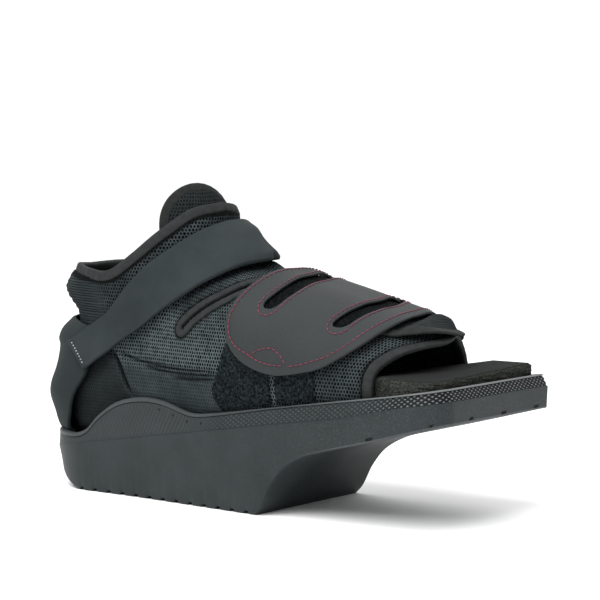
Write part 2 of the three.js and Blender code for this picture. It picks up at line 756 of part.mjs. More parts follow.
function makeTongueBinding() {
  const { half, shoulder, top, tapeFoot } = TONGUE_TAB;
  const sides = spread(tapeFoot, shoulder, 4).slice(0, -1);
  const round = spread(180, 0, 21).map((angle) => {
    const a = radians(angle);
    return onTongue(half * tabX(a), shoulder + (top - shoulder) * tabY(a));
  });
  const left = sides.map((z) => onTongue(-half, z));
  const right = sides.toReversed().map((z) => onTongue(half, z));
  const tape = tapeSection(BINDING.width, -TONGUE - BINDING.proud, BINDING.proud / 2);
  const middle = onTongue(0, shoulder).p;
  const path = edgePath([...left, ...round, ...right], false, (p) => middle.clone().sub(p));
  return bead(path, tape, false);
}

// Straps

const strapEdge = Object.fromEntries(
  ["upperTurn", "upperZ", "lowerTurn", "lowerZ", "stand"].map((column) => [
    column,
    through(
      ANKLE_STRAP.map((row, step) => ({ ...row, step })),
      "step",
      column,
    ),
  ]),
);
const heelEdge = through(HEEL_STRAP, "z", "edge");
const heelLift = through(HEEL_STRAP, "z", "lift");

/** Height of the heel strap's underside above the upper: it bows out most at the back. */
const heelStrapLift = (turn, z) => heelLift(z) * lerp(0.4, 1, ease(Math.abs(turn), 117, 165));

function makeHeelStrap() {
  const sides = spread(-1, 1, 19);
  const rows = spread(0, 1, 11);
  const footAt = (side) => lerp(HEEL_STRAP_EDGE.footBack, HEEL_STRAP_EDGE.footSide, side * side);
  const topAt = (side) => lerp(HEEL_STRAP_EDGE.topBack, HEEL_STRAP_EDGE.topSide, side * side);
  const turnAt = (side, z) => 180 + side * (180 - heelEdge(z));
  const place = (side, share) => {
    const z = lerp(footAt(side), topAt(side), share);
    const turn = turnAt(side, z);
    return { ...onAnkle(turn, z), lift: heelStrapLift(turn > 180 ? turn - 360 : turn, z) };
  };
  const columns = sides.map((side) => rows.map((share) => place(side, share)));
  const under = (i, j) => columns[i][j].lift;
  return slab(columns, under, (i, j) => under(i, j) + STRAP);
}

/** The ankle strap runs from heel to heel over the front of the ankle, and lies on the heel strap at its ends. */
function makeAnkleStrap() {
  const steps = ANKLE_STRAP.length - 1;
  const half = spread(0, steps, 21);
  const edgePlace = (step, sign, edge) => {
    const turn = strapEdge[`${edge}Turn`](step);
    const z = strapEdge[`${edge}Z`](step);
    const { p, n } = onAnkle(-sign * turn, z);
    const onHeelStrap = heelStrapLift(turn, z) + STRAP + 3 * GAP;
    const standOff = edge === "lower" ? strapEdge.stand(step) : 0;
    return p.addScaledVector(n, lerp(onHeelStrap, STRAP_LIFT, ease(step, 0.8, 2)) + standOff);
  };
  const column = (step, sign) => {
    const lower = edgePlace(step, sign, "lower");
    const upper = edgePlace(step, sign, "upper");
    return spread(0, 1, 4).map((share) => {
      const p = lower.clone().lerp(upper, share);
      const n = outwardAt(p);
      const short = STRAP_LIFT - footDistance(p);
      return { p: short > 0 ? p.addScaledVector(n, short) : p, n };
    });
  };
  const lateral = half.map((step) => column(step, -1));
  const medial = half.slice(0, -1).map((step) => column(step, 1));
  return slab([...lateral, ...medial.toReversed()], 0, STRAP);
}

// Forefoot flap and what lies under it

const flapRear = through(FOREFOOT_FLAP, "turn", "rear");
const flapFront = through(FOREFOOT_FLAP, "turn", "front");

/** The turn at which the upper's face meets the sole's rim. */
function rimTurn(x, side) {
  const drop = vampAxis(x) - rimHeight(x) - 4 * GAP;
  return 90 + THREE.MathUtils.radToDeg(Math.atan(drop / (footHalf[side](x) - 2)));
}

function makeFlap() {
  const turns = [...spread(-85, -49, 10), ...spread(-40, 80, 13)];
  const across = spread(0, 1, 11);
  const columns = turns.map((turn) => across.map((share) => onVamp(lerp(flapRear(turn), flapFront(turn), share), turn)));
  const lastTurn = turns.at(-1);
  const hem = across.map((share) => {
    const x = lerp(flapRear(lastTurn), flapFront(lastTurn), share);
    return onVamp(x, rimTurn(x, "medial"));
  });
  const middle = hem.map((_, j) => {
    const x = lerp(flapRear(lastTurn), flapFront(lastTurn), across[j]);
    return onVamp(x, (lastTurn + rimTurn(x, "medial")) / 2);
  });
  const turnOf = (i) => turns[i] ?? FLAP_HUG.end;
  const under = (i) => lerp(LAYER.flap, FLAP_HUG.lift, ease(turnOf(i), FLAP_HUG.start, FLAP_HUG.end));
  const sheet = slab([...columns, middle, hem], under, (i) => under(i) + FLAP);
  const cutters = FLAP_SLOTS.map((slot) => slotCutter(slotCentre(slot), SLOT_HALF, LAYER.flap - 2, LAYER.flap + FLAP + 2));
  return cut(sheet, cutters);
}

function slotCentre(slot) {
  const x = through(slot, "turn", "x");
  return spread(slot[0].turn, slot.at(-1).turn, 9).map((turn) => onVamp(x(turn), turn));
}

/** The cloth that backs the flap: the same outline, a little smaller, over the top and the lobe. */
function makeFlapBacking() {
  const turns = spread(BACKING.firstTurn, BACKING.lastTurn, 20);
  const columns = turns.map((turn) =>
    spread(flapRear(turn) + BACKING.margin, flapFront(turn) - BACKING.margin, 7).map((x) => onVamp(x, turn)),
  );
  return slab(columns, LAYER.backing, LAYER.backing + LOOP);
}

/** The inner forefoot cover's outline, moved in by `inset`: its outer edge, its front and the round between. */
const coverFront = through(COVER_FRONT, "turn", "x");
function coverOutline(inset) {
  const lateral = COVER.lateral + THREE.MathUtils.radToDeg(inset / COVER_REACH);
  const corner = COVER.corner - inset;
  const roundTurn = THREE.MathUtils.radToDeg(corner / COVER_REACH);
  const frontAt = (turn) => {
    const into = Math.max(1 - (turn - lateral) / roundTurn, 0);
    const slant = (coverFront(turn + 2) - coverFront(turn - 2)) / (4 * radians(COVER_REACH));
    return coverFront(turn) - inset * Math.hypot(1, slant) - corner * (1 - Math.sqrt(1 - into ** 2));
  };
  const roundTurns = (angles) => angles.map((a) => lateral + roundTurn * (1 - Math.cos(radians(a))));
  return { lateral, roundEnd: lateral + roundTurn, frontAt, roundTurns };
}

function makeCover() {
  const { roundEnd, frontAt, roundTurns } = coverOutline(BINDING.width + 3.5 * GAP);
  const turns = [...roundTurns([0, 12, 30, 55]), ...spread(roundEnd, COVER.medial, 11)];
  const columns = turns.map((turn) => spread(COVER.rear, frontAt(turn), 10).map((x) => onVamp(x, turn)));
  const crown = (x) => COVER_CROWN.height * (1 - ease(Math.abs(x - COVER_CROWN.x), 0, COVER_CROWN.half));
  const under = (i, j) => LAYER.cloth + crown(columns[i][j].p.x);
  return slab(columns, under, (i, j) => under(i, j) + COVER.thickness);
}

function makeCoverBinding() {
  const { lateral, roundEnd, frontAt, roundTurns } = coverOutline(0);
  const side = spread(COVER.tapeRear, frontAt(lateral), 4).map((x) => onVamp(x, lateral));
  const turns = [...roundTurns([15, 30, 45, 60, 75]), ...spread(roundEnd, COVER.medial, 12)];
  const toe = turns.map((turn) => onVamp(frontAt(turn), turn));
  const places = [...side, ...toe].map(({ p, n }) => ({ p: p.addScaledVector(n, LAYER.cloth), n }));
  const middle = onVamp(COVER.rear, 0).p;
  const tape = tapeSection(BINDING.width, 0, COVER.thickness + BINDING.proud / 2);
  return bead(edgePath(places, false, (p) => middle.clone().sub(p)), tape, false);
}

function makeLoopPatch({ rear, front }) {
  const columns = spread(rear, front, 5).map((x) =>
    spread(-rimTurn(x, "lateral"), PATCH_TOP, 6).map((turn) => onVamp(x, turn)),
  );
  return slab(columns, PATCH_LIFT, PATCH_LIFT + LOOP);
}

// Assembly

const shoe = new THREE.Group();
shoe.name = "postoperative_shoe";
shoe.position.x = -ORIGIN_X;

function add(name, geometry, finish) {
  const mesh = new THREE.Mesh(geometry, new THREE.MeshStandardMaterial({ ...MATERIAL[finish], metalness: 0 }));
  mesh.name = name;
  shoe.add(mesh);
}

const slitCutter = slotCutter(slitCentre, SLIT_TAPE.open + SLIT_TAPE.width + 3 * GAP, -WALL - 3, 3);

add("sole", makeSole(), "sole");
add("footbed", makeFootbed(), "footbed");
add("upper", makeUpper(slitCutter), "mesh");
add("collar_binding", makeCollarBinding(), "binding");
add("toe_binding", makeToeBinding(), "binding");
add("slit_binding", makeSlitBinding(), "binding");
add("tongue", makeTongue(), "mesh");
add("tongue_binding", makeTongueBinding(), "binding");
add("heel_strap", makeHeelStrap(), "strap");
add("ankle_strap", makeAnkleStrap(), "strap");
add("forefoot_cover", makeCover(), "mesh");
add("cover_binding", makeCoverBinding(), "binding");
for (const [name, patch] of Object.entries(LOOP_PATCHES)) add(name, makeLoopPatch(patch), "loop");
add("flap_backing", makeFlapBacking(), "loop");
add("forefoot_flap", makeFlap(), "flap");

export default shoe;
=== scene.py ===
import bpy
import numpy as np
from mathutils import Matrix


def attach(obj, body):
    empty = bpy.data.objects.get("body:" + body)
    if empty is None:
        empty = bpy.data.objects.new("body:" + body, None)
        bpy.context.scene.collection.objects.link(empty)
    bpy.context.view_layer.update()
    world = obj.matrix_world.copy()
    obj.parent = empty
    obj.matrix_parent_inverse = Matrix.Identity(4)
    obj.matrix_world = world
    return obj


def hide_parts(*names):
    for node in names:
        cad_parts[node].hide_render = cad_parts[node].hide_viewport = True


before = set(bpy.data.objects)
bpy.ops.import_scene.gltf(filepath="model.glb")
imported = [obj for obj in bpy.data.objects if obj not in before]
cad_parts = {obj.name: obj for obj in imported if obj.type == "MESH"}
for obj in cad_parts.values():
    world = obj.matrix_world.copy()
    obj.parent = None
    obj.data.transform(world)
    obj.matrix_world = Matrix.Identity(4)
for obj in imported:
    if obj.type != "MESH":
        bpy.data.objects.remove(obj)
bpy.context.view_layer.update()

# Sole
# A wedge of moulded foam rubber, cut away under the toes so that only its heel block stands on the floor.
# The mould gives it grooves below, a crease along the wall, a knurled band and a raised rim around the cup
# that the upper is glued into.
# Lengths are in millimetres: x from the back of the heel, y towards the inner side, z up from the floor.
FRAME_ORIGIN = np.array([90.0, 0.0, 0.0])
TOE_FRONT = 277.5
HEEL_CENTRE = 40.0
HEEL_RADIUS = 42.0
TOE_START = 250.0
CUP_FLOOR = 26.0
CUP_SLOPE = 0.155
ROCKER_START = 36.0
ROCKER_LENGTH = 38.0
ROCKER_RISE = 20.0
TOE_CORNER = {"lateral": 18.0, "medial": 4.0}
SIDE_COLUMN = {"lateral": 1, "medial": 2}
SIDE_SIGN = {"lateral": -1.0, "medial": 1.0}

# x, then the lateral and the medial half width
SOLE_OUTLINE = np.array(
    [
        [40, 42, 42],
        [74, 42.5, 41.5],
        [130, 46.5, 43],
        [161, 48.8, 45.4],
        [204, 51, 49.6],
        [245, 53.5, 52.5],
        [277, 54, 53],
    ]
)
# x, then the height of the rim
SOLE_RIM = np.array(
    [
        [-2, 31],
        [25, 31],
        [32, 31.5],
        [40, 34.5],
        [48, 42],
        [62, 50.5],
        [80, 54.3],
        [96, 53.5],
        [116, 49],
        [130, 49.8],
        [173, 56.4],
        [255, 68.8],
        [277, 72],
    ]
)
# x, then the height of the underside in front of the block
SOLE_CUT = np.array(
    [[162, 0], [166, 4.5], [172, 15.8], [180, 25.4], [192, 32.4], [205, 36.3], [232, 42.9], [277, 54.5]]
)
GROOVE = {"first": 36.0, "last": 156.0, "pitch": 10.0, "half": 1.9, "slant": 0.8, "depth": 1.5}
KNURL = {"along": 3.7, "up": 2.2, "height": 0.5}
PIN_HOLES = {"pitch": 10.5, "below_rim": 5.0}
# places of the small mould slots along the lower edge of the toe plate, as x and y
MOULD_SLOTS = np.array([[237, -53], [270, -47], [277.5, -21.4], [277.5, 8], [277.5, 39.5]])
MOULD_SLOT_HALF = 2.1
MOULD_SLOT_DEPTH = 0.8
FRONT_STEPS = 97


def curve(table, column, at):
    """A cubic in each gap of a table, against its first column; each slope is that of the rows beside it."""
    x = table[:, 0]
    y = table[:, column]
    row = np.arange(len(x))
    before = np.maximum(row - 1, 0)
    after = np.minimum(row + 1, len(x) - 1)
    slope = (y[after] - y[before]) / (x[after] - x[before])
    i = np.clip(np.searchsorted(x, at) - 1, 0, len(x) - 2)
    gap = x[i + 1] - x[i]
    t = np.clip((at - x[i]) / gap, 0, 1)
    s = 1 - t
    held = s * s * (1 + 2 * t) * y[i] + t * t * (1 + 2 * s) * y[i + 1]
    return held + t * s * gap * (s * slope[i] - t * slope[i + 1])


def ease(at, start, end):
    """A smooth step, from 0 at start to 1 at end."""
    t = np.clip((at - start) / (end - start), 0, 1)
    return t * t * (3 - 2 * t)


def mix(a, b, share):
    """The value a share of the way from a to b."""
    return a + (b - a) * share


def cup_floor(x):
    """Height of the floor of the sole's cup, which rises evenly towards the toe."""
    return CUP_FLOOR + CUP_SLOPE * x


def rim_height(x):
    """Height of the sole's rim."""
    return curve(SOLE_RIM, 1, x)


def under_height(x):
    """Height of the underside without grooves: a rounded heel, a flat block, and a sweep up to the toe."""
    rocker = ROCKER_RISE * np.maximum((ROCKER_START - x) / ROCKER_LENGTH, 0) ** 1.7
    return np.where(x > SOLE_CUT[0, 0], curve(SOLE_CUT, 1, x), rocker)


def crease_height(x):
    """Height of the crease along the wall: a rising line, kept above the underside and lifted at the toe."""
    return np.maximum(20.5 + 0.156 * x, under_height(x) + 5) + 2 * ease(x, 215, 262)


def groove_depth(x):
    """Depth of the cross grooves: a flat floor between slanted walls at every pitch along the block."""
    held = np.clip(x, GROOVE["first"], GROOVE["last"])
    nearest = np.round((held - GROOVE["first"]) / GROOVE["pitch"])
    off = np.abs(x - GROOVE["first"] - GROOVE["pitch"] * nearest)
    return GROOVE["depth"] * np.clip((GROOVE["half"] - off) / GROOVE["slant"], 0, 1)


def sole_half(x, side, inset):
    """Half width of the outline moved in by an inset: a round heel, the table's sides, round toe corners."""
    heel = np.sqrt(np.maximum((HEEL_RADIUS - inset) ** 2 - (HEEL_CENTRE - x) ** 2, 0))
    corner = np.maximum(TOE_CORNER[side] - inset, 3)
    into = np.maximum(x - (TOE_FRONT - inset - corner), 0)
    half = curve(SOLE_OUTLINE, SIDE_COLUMN[side], x) - inset
    front = half - corner + np.sqrt(np.maximum(corner**2 - into**2, 0))
    return np.where(x < HEEL_CENTRE, heel, front)


def sole_stations():
    """Places along the sole: even round the heel, on every groove's corners, then close up to the toe."""
    heel = HEEL_CENTRE - HEEL_RADIUS * np.cos(np.radians(np.linspace(0, 86, 22)))
    centres = np.arange(GROOVE["first"], GROOVE["last"] + 1, GROOVE["pitch"])
    corners = np.array([-3.4, -1.95, -1.1, 0, 1.1, 1.95, 3.4, 5])
    block = (centres[:, None] + corners).ravel()
    sweep = np.arange(162, 259, 0.85)
    corner = TOE_FRONT - TOE_CORNER["lateral"] * (1 - np.sin(np.radians(np.linspace(3, 90, 18))))
    return np.unique(np.concatenate([heel[heel < 32], block, sweep, corner]))


def bead_height(x):
    """Height of the bead along the rim: thick round the heel, thin towards the toe."""
    return mix(2.6, 0.9, ease(x, 70, 190))


def sole_section(x):
    """Insets and heights up the section: floor, wall, crease, knurled band, rim bead, and down into the cup;
    and the rows of the band. The wall stands upright at the toe plate, and the band does behind the heel."""
    grooved = under_height(x) + groove_depth(x)
    facet = crease_height(x)
    rim = rim_height(x)
    cup = cup_floor(x)
    low = np.maximum(grooved + 0.5, under_height(x) + 0.9)
    foot = [(3.0, grooved), (2.4, grooved + 0.3), (2.0, low), (1.95, low + 0.25)]
    foot += [(1.85, low + 1.4), (1.8, low + 1.65)]
    wall = [(1.7 * (1 - t), mix(low + 2.2, facet - 0.5, t)) for t in np.linspace(0, 1, 5)]
    ledge = [(0.0, facet), (0.75, facet + 0.25)]
    thick = bead_height(x)
    band = [(mix(0.85, 2.2, t), mix(facet + 0.6, rim - thick - 0.4, t)) for t in np.linspace(0, 1, 18)]
    bead = [(2.75, rim - thick), (2.15, rim - 0.85 * thick), (1.95, rim - 0.5 * thick)]
    bead += [(2.15, rim - 0.17 * thick), (2.9, rim)]
    lip = [(3.9, rim), (4.6, rim - 0.35), (4.9, rim - 1.2), (5.0, mix(rim, cup, 0.5)), (5.0, cup)]
    rows = foot + wall + ledge + band + bead + lip
    insets = np.array([inset for inset, _ in rows])[:, None]
    first = len(foot) + len(wall) + len(ledge)
    upright = np.ones((len(rows), len(x)))
    upright[: first - 2] = 1 - 0.8 * ease(x, 225, 262)
    upright[first - 1 : first + len(band) + 4] = 1 - 0.8 * (1 - ease(x, 8, 40))
    return insets * upright, np.array([height for _, height in rows]), slice(first, first + len(band))


def grid_faces(rows, columns, round_rows=False, round_columns=False):
    """The faces of a grid of points numbered row by row; a round side joins its last line to its first."""
    i = np.arange(rows if round_rows else rows - 1)[:, None]
    j = np.arange(columns if round_columns else columns - 1)[None, :]
    below = i * columns
    above = ((i + 1) % rows) * columns
    right = (j + 1) % columns
    return np.stack([below + j, below + right, above + right, above + j], -1).reshape(-1, 4)


def weld(points, faces):
    """Points that coincide made one: a face that loses a corner turns into a triangle, and one that loses
    two goes. A small shift keeps round measures off the halves at which rounding turns."""
    rounded = np.round(points + 0.000137, 3)
    _, first, which = np.unique(rounded, axis=0, return_index=True, return_inverse=True)
    faces = which.ravel()[faces]
    kept = faces != np.roll(faces, 1, axis=1)
    spread = (faces[:, 0] != faces[:, 2]) & (faces[:, 1] != faces[:, 3])
    whole = kept.all(1) & spread
    short = (kept.sum(1) == 3) & spread
    return first, faces[whole], faces[short][kept[short]].reshape(-1, 3)


def make_piece(name, points, faces, material, sharp=0.6, **layers):
    """A closed mesh in the frame's metres, with its faces out, and an attribute for each layer of values."""
    first, quads, triangles = weld(points, faces)
    place = (points[first] - FRAME_ORIGIN) / 1000
    corners = np.concatenate([quads[:, [0, 1, 2]], quads[:, [0, 2, 3]], triangles])
    a, b, c = (place[corners[:, k]] for k in range(3))
    if np.einsum("ij,ij->", a, np.cross(b, c)) < 0:
        quads = quads[:, ::-1]
        triangles = triangles[:, ::-1]
    mesh = bpy.data.meshes.new(name)
    mesh.from_pydata(place.tolist(), [], quads.tolist() + triangles.tolist())
    for layer, values in layers.items():
        kind = "FLOAT_VECTOR" if values.ndim == 2 else "FLOAT"
        entry = mesh.attributes.new(layer, kind, "POINT")
        entry.data.foreach_set("vector" if values.ndim == 2 else "value", values[first].ravel())
    mesh.polygons.foreach_set("use_smooth", np.ones(len(mesh.polygons), bool))
    mesh.set_sharp_from_angle(angle=sharp)
    mesh.materials.append(material)
    piece = bpy.data.objects.new(name, mesh)
    bpy.context.scene.collection.objects.link(piece)
    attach(piece, "root")
    return piece


def finish(name, roughness, specular):
    """A material whose steady values are set on the shader's own sockets."""
    material = bpy.data.materials.new(name)
    material.use_nodes = True
    shader = material.node_tree.nodes["Principled BSDF"]
    shader.inputs["Roughness"].default_value = roughness
    shader.inputs["Specular IOR Level"].default_value = specular
    return material, material.node_tree, shader


def node(tree, kind, *inputs, **settings):
    """A node fed by numbers or other nodes' outputs, in the order of its sockets. Gives its first output."""
    made = tree.nodes.new("ShaderNode" + kind)
    for setting, value in settings.items():
        setattr(made, setting, value)
    for socket, value in zip(made.inputs, inputs):
        if isinstance(value, bpy.types.NodeSocket):
            tree.links.new(value, socket)
        elif value is not None:
            socket.default_value = value
    return made.outputs[0]


def arithmetic(operation):
    """A function that does one step of arithmetic on node outputs and numbers, in the outputs' own tree."""

    def step(*values):
        """The step, on values of which at least one is an output."""
        tree = next(value.id_data for value in values if isinstance(value, bpy.types.NodeSocket))
        return node(tree, "Math", *values, operation=operation)

    return step


plus = arithmetic("ADD")
less = arithmetic("SUBTRACT")
times = arithmetic("MULTIPLY")
times_plus = arithmetic("MULTIPLY_ADD")
divided = arithmetic("DIVIDE")
power = arithmetic("POWER")
sine = arithmetic("SINE")
cosine = arithmetic("COSINE")
fraction = arithmetic("FRACT")


def between(value, low, high):
    """A smooth step of a node output, from 0 at low to 1 at high."""
    return node(value.id_data, "MapRange", value, low, high, 0.0, 1.0, interpolation_type="SMOOTHSTEP")


def colours(share, a, b):
    """Two colours mixed by a node output; either may be an output too."""
    tree = share.id_data
    made = tree.nodes.new("ShaderNodeMix")
    made.data_type = "RGBA"
    tree.links.new(share, made.inputs["Factor"])
    for socket, value in zip([made.inputs[6], made.inputs[7]], [a, b]):
        if isinstance(value, bpy.types.NodeSocket):
            tree.links.new(value, socket)
        else:
            socket.default_value = (*value, 1)
    return made.outputs[2]


def grain(tree, scale, detail):
    """Noise in the object's own metres; scale is in grains to the metre."""
    place = tree.nodes.new("ShaderNodeTexCoord").outputs["Object"]
    return node(tree, "TexNoise", place, None, scale, detail, 0.55)


def surface(shader, colour, height, depth):
    """A colour and a relief, whose height is a node output and whose depth is in metres."""
    tree = shader.id_data
    tree.links.new(colour, shader.inputs["Base Color"])
    bump = tree.nodes.new("ShaderNodeBump")
    bump.inputs["Strength"].default_value = 1.0
    bump.inputs["Distance"].default_value = depth
    tree.links.new(height, bump.inputs["Height"])
    tree.links.new(bump.outputs["Normal"], shader.inputs["Normal"])


def layer_parts(tree, name):
    """The three parts of a vector attribute of the mesh."""
    made = tree.nodes.new("ShaderNodeAttribute")
    made.attribute_name = name
    parts = tree.nodes.new("ShaderNodeSeparateXYZ")
    tree.links.new(made.outputs["Vector"], parts.inputs[0])
    return parts.outputs[0], parts.outputs[1], parts.outputs[2]


def layer_value(tree, name):
    """A float attribute of the mesh."""
    made = tree.nodes.new("ShaderNodeAttribute")
    made.attribute_name = name
    return made.outputs["Fac"]


def unit(vectors):
    """Vectors brought to a length of one."""
    return vectors / np.maximum(np.linalg.norm(vectors, axis=-1, keepdims=True), 1e-6)


def run_along(path):
    """Distance along a path of points, from its first one."""
    return np.cumsum(np.linalg.norm(np.diff(path, axis=0, prepend=path[:1]), axis=-1))


def slab_ring(sides, steps):
    """The rows of a section carried round a slab, along its lateral side, across its front in some steps and
    back along its medial side; and the level way out of it."""
    shares = np.linspace(0, 1, steps)[None, 1:-1, None]
    front = mix(sides["lateral"][:, -1:], sides["medial"][:, -1:], shares)
    ring = np.concatenate([sides["lateral"], front, sides["medial"][:, :0:-1]], axis=1)
    turned = np.roll(ring, -1, axis=1) - np.roll(ring, 1, axis=1)
    out = np.stack([turned[..., 1], -turned[..., 0], 0 * turned[..., 0]], -1)
    return ring, unit(out)


def slab_mesh(ring, sides, steps):
    """A slab's points and faces: its ring, then lines across its first row and across its last one. Also how
    many points the lines of one row have."""
    shares = np.linspace(0, 1, steps)[:, None]
    lines = mix(sides["lateral"][[0, -1], :, None], sides["medial"][[0, -1], :, None], shares)
    points = np.concatenate([ring.reshape(-1, 3), lines.reshape(-1, 3)])
    start = ring.shape[0] * ring.shape[1]
    count = lines.shape[1] * steps
    around = grid_faces(*ring.shape[:2], round_columns=True)
    flat = grid_faces(lines.shape[1], steps) + start
    return points, np.concatenate([around, flat[:, ::-1], flat + count]), count


stations = sole_stations()
insets, heights, band = sole_section(stations)
ring_x = stations + insets * np.maximum(HEEL_CENTRE - stations, 0) / HEEL_RADIUS
ring_x = ring_x - insets * np.maximum(stations - TOE_START, 0) / (TOE_FRONT - TOE_START)
sole_side = {
    side: np.stack([ring_x, SIDE_SIGN[side] * sole_half(ring_x, side, insets), heights], -1)
    for side in TOE_CORNER
}
sole_ring, sole_out = slab_ring(sole_side, FRONT_STEPS)
girth = np.broadcast_to(run_along(sole_ring[12]), sole_ring.shape[:2])
below_rim = sole_ring[..., 2] - rim_height(sole_ring[..., 0])
knurl_wave = np.cos(2 * np.pi * girth / KNURL["along"]) * np.cos(2 * np.pi * below_rim / KNURL["up"])
band_x = sole_ring[band][..., 0]
knurl_there = np.zeros(girth.shape)
knurl_there[band] = mix(0.2, 1, ease(band_x, 225, 270)) * ease(band_x, 118, 150)
hatch_there = np.zeros(girth.shape)
hatch_there[band] = 1 - ease(band_x, 105, 135)
slot_there = np.abs(sole_ring[..., None, :2] - MOULD_SLOTS).max(-1).min(-1) < MOULD_SLOT_HALF
slot_there[:3] = False
slot_there[5:] = False
sole_push = KNURL["height"] * knurl_there * np.maximum(knurl_wave, 0) - MOULD_SLOT_DEPTH * slot_there
sole_ring = sole_ring + sole_out * sole_push[..., None]
sole_x = sole_ring[..., 0]
pins_there = ease(sole_x, 88, 92) * (1 - ease(sole_x, 132, 136)) * (sole_ring[..., 1] < 0)
# Painted highlight along the rim's bead and, fainter, along the lower edge of the toe plate.
painted_bead_highlight = np.zeros(girth.shape)
painted_bead_highlight[band.stop + 1 : band.stop + 5] = mix(0.13, 0.6, ease(sole_x[band.stop], 170, 262))
painted_bead_highlight[1:3] = 0.2 * ease(sole_x[1], 175, 230)

sole_points, sole_faces, line_count = slab_mesh(sole_ring, sole_side, FRONT_STEPS)
plain = np.zeros(2 * line_count)
moulded = np.stack([girth, below_rim, hatch_there], -1).reshape(-1, 3)
moulded = np.concatenate([moulded, np.stack([plain, plain - 100, plain], -1)])
marked = np.stack([knurl_there, pins_there, slot_there], -1).reshape(-1, 3)
marked = np.concatenate([marked, np.zeros((2 * line_count, 3))])
painted_highlight_layer = np.concatenate([painted_bead_highlight.ravel(), plain])

rubber, tree, shader = finish("sole_rubber", 0.5, 0.2)
run, drop, hatched = layer_parts(tree, "mould")
knurled, pinned, painted_slot_shade = layer_parts(tree, "mark")
speckle = grain(tree, 1150, 3.0)
cloud = grain(tree, 45, 4.0)
hatch_run = times_plus(drop, -0.44, run)
hatch_line = sine(times(hatch_run, 2.5))
hatch_mark = times(hatched, between(hatch_line, -0.2, 0.9))
knurl_along = cosine(times(run, 2 * np.pi / KNURL["along"]))
knurl_up = cosine(times(drop, 2 * np.pi / KNURL["up"]))
knurl_mark = times(knurl_along, knurl_up)
# The knurl's valleys painted dark and its peaks painted light: painted shade and painted highlight over its
# raised relief; the peaks also raise the bump.
knurl_painted_shade = times(between(knurl_mark, 0.5, 0.0), knurled)
knurl_peak_and_highlight = times(between(knurl_mark, 0.3, 0.8), knurled)
hole_share = less(fraction(divided(run, PIN_HOLES["pitch"])), 0.5)
hole_along = times(hole_share, PIN_HOLES["pitch"])
hole_up = plus(drop, PIN_HOLES["below_rim"])
hole_off = plus(power(hole_along, 2.0), power(hole_up, 2.0))
pin_hole = times(between(hole_off, 0.9, 0.2), pinned)
rubber_colour = colours(between(cloud, 0.3, 0.7), (0.017, 0.0225, 0.0235), (0.023, 0.0295, 0.031))
length_way = node(tree, "SeparateXYZ", tree.nodes.new("ShaderNodeTexCoord").outputs["Object"])
grainy = times_plus(between(length_way, 0.06, 0.13), 0.75, 0.25)
grainy = times(between(speckle, 0.5, 0.72), grainy)
for tint_share, tint in (
    (grainy, (0.040, 0.047, 0.049)),
    # Lighter over the hatched band at the heel, which leans up to the light: painted light. Darker in the
    # hatch lines: painted shade in their grooves.
    (times(hatched, 0.3), (0.05, 0.055, 0.056)),
    (times(hatch_mark, 0.35), (0.008, 0.010, 0.011)),
    # painted highlight on the rim's bead and the toe plate's lower edge
    (layer_value(tree, "bead"), (0.2, 0.21, 0.21)),
    # painted shade in the knurl's valleys and painted highlight on its peaks
    (knurl_painted_shade, (0.0025, 0.0035, 0.004)),
    (knurl_peak_and_highlight, (0.155, 0.17, 0.17)),
    # painted shade in the mould slots, which are also sunk into the wall
    (painted_slot_shade, (0.006, 0.008, 0.008)),
    (pin_hole, (0.003, 0.004, 0.004)),
):
    rubber_colour = colours(tint_share, rubber_colour, tint)
rubber_height = times_plus(hatch_mark, -0.5, times(speckle, 0.5))
rubber_height = times_plus(knurl_peak_and_highlight, 0.8, rubber_height)
surface(shader, rubber_colour, less(rubber_height, pin_hole), 0.0003)

sole = make_piece("wedge_sole", sole_points, sole_faces, rubber, mould=moulded, mark=marked, bead=painted_highlight_layer)
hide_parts("sole")

# Footbed
# A thick slab of soft foam cut to the cup's outline and laid in it, with a thin cloth face on top. Its cut
# side shows in front of the toe opening, rough from the knife.
FOOTBED_THICK = 13.2
FOOTBED_TOE_TOP = {"lateral": 75.6, "medial": 77.6}
FOOTBED_FRONT = 271.0
FOOTBED_NOSE = 16.0
FOOTBED_ROUND = 1.6
# how far the footbed's side lies inside the form's half width, and inside the sole's outline in front
FOOTBED_ASIDE = 10.3
FOOTBED_FROM_RIM = 6.2
BED_STEPS = 81
CUT_ROWS = 14
SEAT_GAP = 0.3
FORM_HEEL = 38.0
# x, the lateral and medial half widths of the form that the upper is shaped over, and its top
FORM = np.array(
    [
        [38, 35, 35, 92],
        [75, 38, 37, 98],
        [110, 42, 39, 116],
        [135, 45, 41, 123],
        [160, 47, 44, 116.5],
        [200, 49, 48, 105.8],
        [240, 50, 50, 94.8],
        [266, 50, 50, 86],
    ]
)


def footbed_half(x, side, inset):
    """Half width of the footbed: inside the upper, then spread to the sole's rim in front of it."""
    heel = curve(FORM, SIDE_COLUMN[side], FORM_HEEL) - FOOTBED_ASIDE - inset
    behind = np.sqrt(np.maximum(heel**2 - (FORM_HEEL - x) ** 2, 0))
    in_upper = curve(FORM, SIDE_COLUMN[side], x) - FOOTBED_ASIDE - inset
    in_front = sole_half(x, side, FOOTBED_FROM_RIM + inset)
    return np.where(x < FORM_HEEL, behind, mix(in_upper, in_front, ease(x, 240, 247)))


def ripple(points, length, seed):
    """Smooth noise: nine sine waves of about one length, in directions and phases drawn from the seed."""
    draw = np.random.default_rng(seed)
    ways = draw.normal(size=(9, 3))
    ways *= 2 * np.pi / length / np.linalg.norm(ways, axis=1, keepdims=True)
    ways *= draw.uniform(0.7, 1.4, size=(9, 1))
    return np.sin(points @ ways.T + draw.uniform(0, 6.28, 9)).mean(-1) * 2


